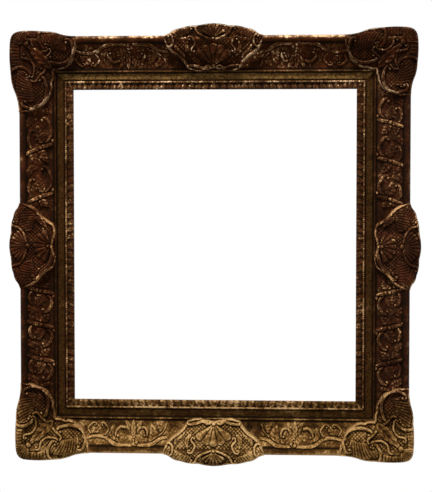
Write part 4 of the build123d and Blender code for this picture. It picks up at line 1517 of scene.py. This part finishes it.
def softwood(name, along_x):
    """Old bare softwood with its grain along one axis."""
    finish = Finish(name)
    stretch = (grain_along, grain_across, grain_across)
    values = {"Vector": finish.place(), "Scale": stretch if along_x else stretch[::-1]}
    place = finish.node("ShaderNodeMapping", output="Vector", values=values)
    rings = finish.noise(2.2, 3.0, 0.5, vector=place) * 7.0
    bands = rings.maths("FRACT", rings)
    fibre = finish.noise(14.0, 6.0, 0.7, vector=place)
    stain = finish.noise(9.0, 4.0, 0.6)
    light, dark, old = (0.30, 0.175, 0.075), (0.155, 0.080, 0.030), (0.060, 0.034, 0.016)
    colour = finish.mix((bands * 0.65 + fibre * 0.5).limited(), light, dark)
    colour = finish.mix(((stain - 0.46) * 3.0).limited() * 0.8, colour, old)
    return finish.surface((fibre * 0.6 + bands * 0.25, 0.4, 0.0008), Base_Color=colour,
                          Roughness=0.72 + (fibre - 0.5) * 0.2, Specular_IOR_Level=0.25)


def metal(name, bright, dark, roughness):
    """Old hardware: bright where it is handled, dull and spotted elsewhere."""
    finish = Finish(name)
    tarnish = ((finish.noise(260.0, 5.0, 0.65) - 0.42) * 3.0).limited()
    spots = ((finish.noise(900.0, 3.0, 0.6) - 0.58) * 8.0).limited()
    colour = finish.mix(tarnish, bright, dark)
    colour = finish.mix(spots * 0.6, colour, tarnish_spot)
    return finish.surface((finish.noise(1500.0, 2.0, 0.5), 0.15, 0.0002), Base_Color=colour,
                          Metallic=0.9 - spots * 0.5, Roughness=roughness + tarnish * 0.2)


level_wood, upright_wood = softwood("softwood_level", True), softwood("softwood_upright", False)
brass = metal("old_brass", (0.40, 0.26, 0.09), (0.11, 0.062, 0.022), 0.36)
steel = metal("old_steel", (0.26, 0.25, 0.235), (0.075, 0.058, 0.045), 0.40)
print("finishes in all:", len(bpy.data.materials))

# %% [markdown]
# The pieces behind are the measured solids themselves. They are plain on the real frame too, so they only
# need their finishes, and each keeps the name that it came in with.

# %% Finish the measured pieces behind
back_finishes = {
    "back_rail_top": level_wood, "back_rail_bottom": level_wood, "back_rail_left": upright_wood,
    "back_rail_right": upright_wood, "lap_pegs": upright_wood, "turn_button": brass, "hanger": steel,
}
for start, material in back_finishes.items():
    finished = [piece for node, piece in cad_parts.items() if node.startswith(start)]
    for piece in finished:
        piece.data.materials.clear()
        piece.data.materials.append(material)
    print(start, len(finished))

# %% [markdown]
# The photograph shows the frame cut out on white, lit softly from above. So the lights are large and
# plain, and only what the camera or a reflection sees of the world is white. The floor lies well below,
# as if the frame hung on a wall, and keeps its shadow.

# %% Floor
floor_half_size, floor_level = 1.2, -2.3
floor_paint = (0.9, 0.9, 0.9, 1.0)
floor_mesh = bpy.data.meshes.new("floor")
work = bmesh.new()
bmesh.ops.create_grid(work, x_segments=8, y_segments=8, size=floor_half_size)
work.to_mesh(floor_mesh)
work.free()
floor = bpy.data.objects.new("floor", floor_mesh)
floor.location = (0, 0, floor_level)
bpy.context.scene.collection.objects.link(floor)
pale = Nodes("pale_floor")
pale.node("ShaderNodeOutputMaterial", values={
    "Surface": pale.node("ShaderNodeBsdfDiffuse", values={"Color": floor_paint})})
floor_mesh.materials.append(pale.material)
floor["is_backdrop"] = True
print("floor at", floor_level, "m")

# %% [markdown]
# The world is a dim, even light that fills the hollows. To the camera and in reflections it looks white
# instead, so the background matches the photograph without any more light on the frame.

# %% World
white = (1.0, 1.0, 1.0, 1.0)
world_light = 0.26
world = bpy.data.worlds.new("studio")
bpy.context.scene.world = world
studio = Nodes("studio", world)
seen = studio.node("ShaderNodeLightPath", output="Is Camera Ray")
for kind in ("Is Glossy Ray", "Is Transmission Ray"):
    seen = seen.maths("MAXIMUM", seen, studio.node("ShaderNodeLightPath", output=kind))
dim, full = (studio.node("ShaderNodeBackground", values={"Color": white, "Strength": strength})
             for strength in (world_light, 1.0))
studio.node("ShaderNodeOutputWorld", values={
    "Surface": studio.node("ShaderNodeMixShader", values={0: seen, 1: dim, 2: full})})
print("world lights the frame at", world_light, "and looks white")

# %% [markdown]
# A lamp high up in front rakes down over the carving and gives each ridge its shadow. A weak one in
# front keeps the lower sides of the scrolls from going black, and one behind is for views of the back.

# %% Lamps
middle = Vector((0, -0.03, middle_height / 1000))
lamps = {
    "key_above": {"place": (-0.35, -1.35, 2.35), "size": 0.7, "power": 118.0},
    "fill_front": {"place": (1.4, -2.6, 0.2), "size": 1.6, "power": 10.0},
    "behind": {"place": (0.3, 2.0, 1.0), "size": 1.6, "power": 30.0},
}
for name, values in lamps.items():
    light = bpy.data.lights.new(name, "AREA")
    light.shape, light.size, light.energy = "DISK", values["size"], values["power"]
    lamp = bpy.data.objects.new(name, light)
    lamp.location = values["place"]
    lamp.rotation_euler = (middle - lamp.location).to_track_quat("-Z", "Y").to_euler()
    bpy.context.scene.collection.objects.link(lamp)
print("lamps:", ", ".join(lamps))

# %% [markdown]
# The camera stands where the photographer stood: about 2.6 m away, a little above the middle and a
# little to the right, which shows in the slightly larger top and right edges. A shift of the lens, not a
# turn, puts the opening where the photograph has it.

# %% Camera
photo_width, photo_height = 432, 492
pixel = 1.754 / 1000
camera_distance = 2.6
camera_rise, camera_turn = 2.6, 3.6
sight_middle_x, sight_middle_y = 214.2, 245.6
sensor_height, farthest = 24.0, 50.0
camera_data = bpy.data.cameras.new("camera")
camera = bpy.data.objects.new("camera", camera_data)
bpy.context.scene.collection.objects.link(camera)
bpy.context.scene.camera = camera
aim = Vector((0, -lip_top / 1000, middle_height / 1000))
rise, turn = radians(camera_rise), radians(camera_turn)
camera.location = aim + camera_distance * Vector((sin(turn) * cos(rise), -cos(turn) * cos(rise), sin(rise)))
camera.rotation_euler = (aim - camera.location).to_track_quat("-Z", "Y").to_euler()
camera_data.sensor_fit = "VERTICAL"
camera_data.sensor_height = sensor_height
camera_data.lens = sensor_height * camera_distance / (photo_height * pixel)
camera_data.shift_x = -(sight_middle_x - photo_width / 2) / photo_height
camera_data.shift_y = (sight_middle_y - photo_height / 2) / photo_height
camera_data.clip_end = farthest
bpy.context.scene.view_settings.view_transform = "Standard"
print("camera", [round(value, 3) for value in camera.location], "lens", round(camera_data.lens, 1))

# %% [markdown]
# Last, the box of what is seen is printed beside the box of the solids: the carving must not have grown
# past the real size.

# %% Print both boxes
seen_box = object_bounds()
sizes = {"cad": [list(corner) for corner in cad_box], "visual": [list(corner) for corner in seen_box]}
for model, corners in sizes.items():
    print(model, "box, in mm:", [[round(1000 * value, 1) for value in corner] for corner in corners])
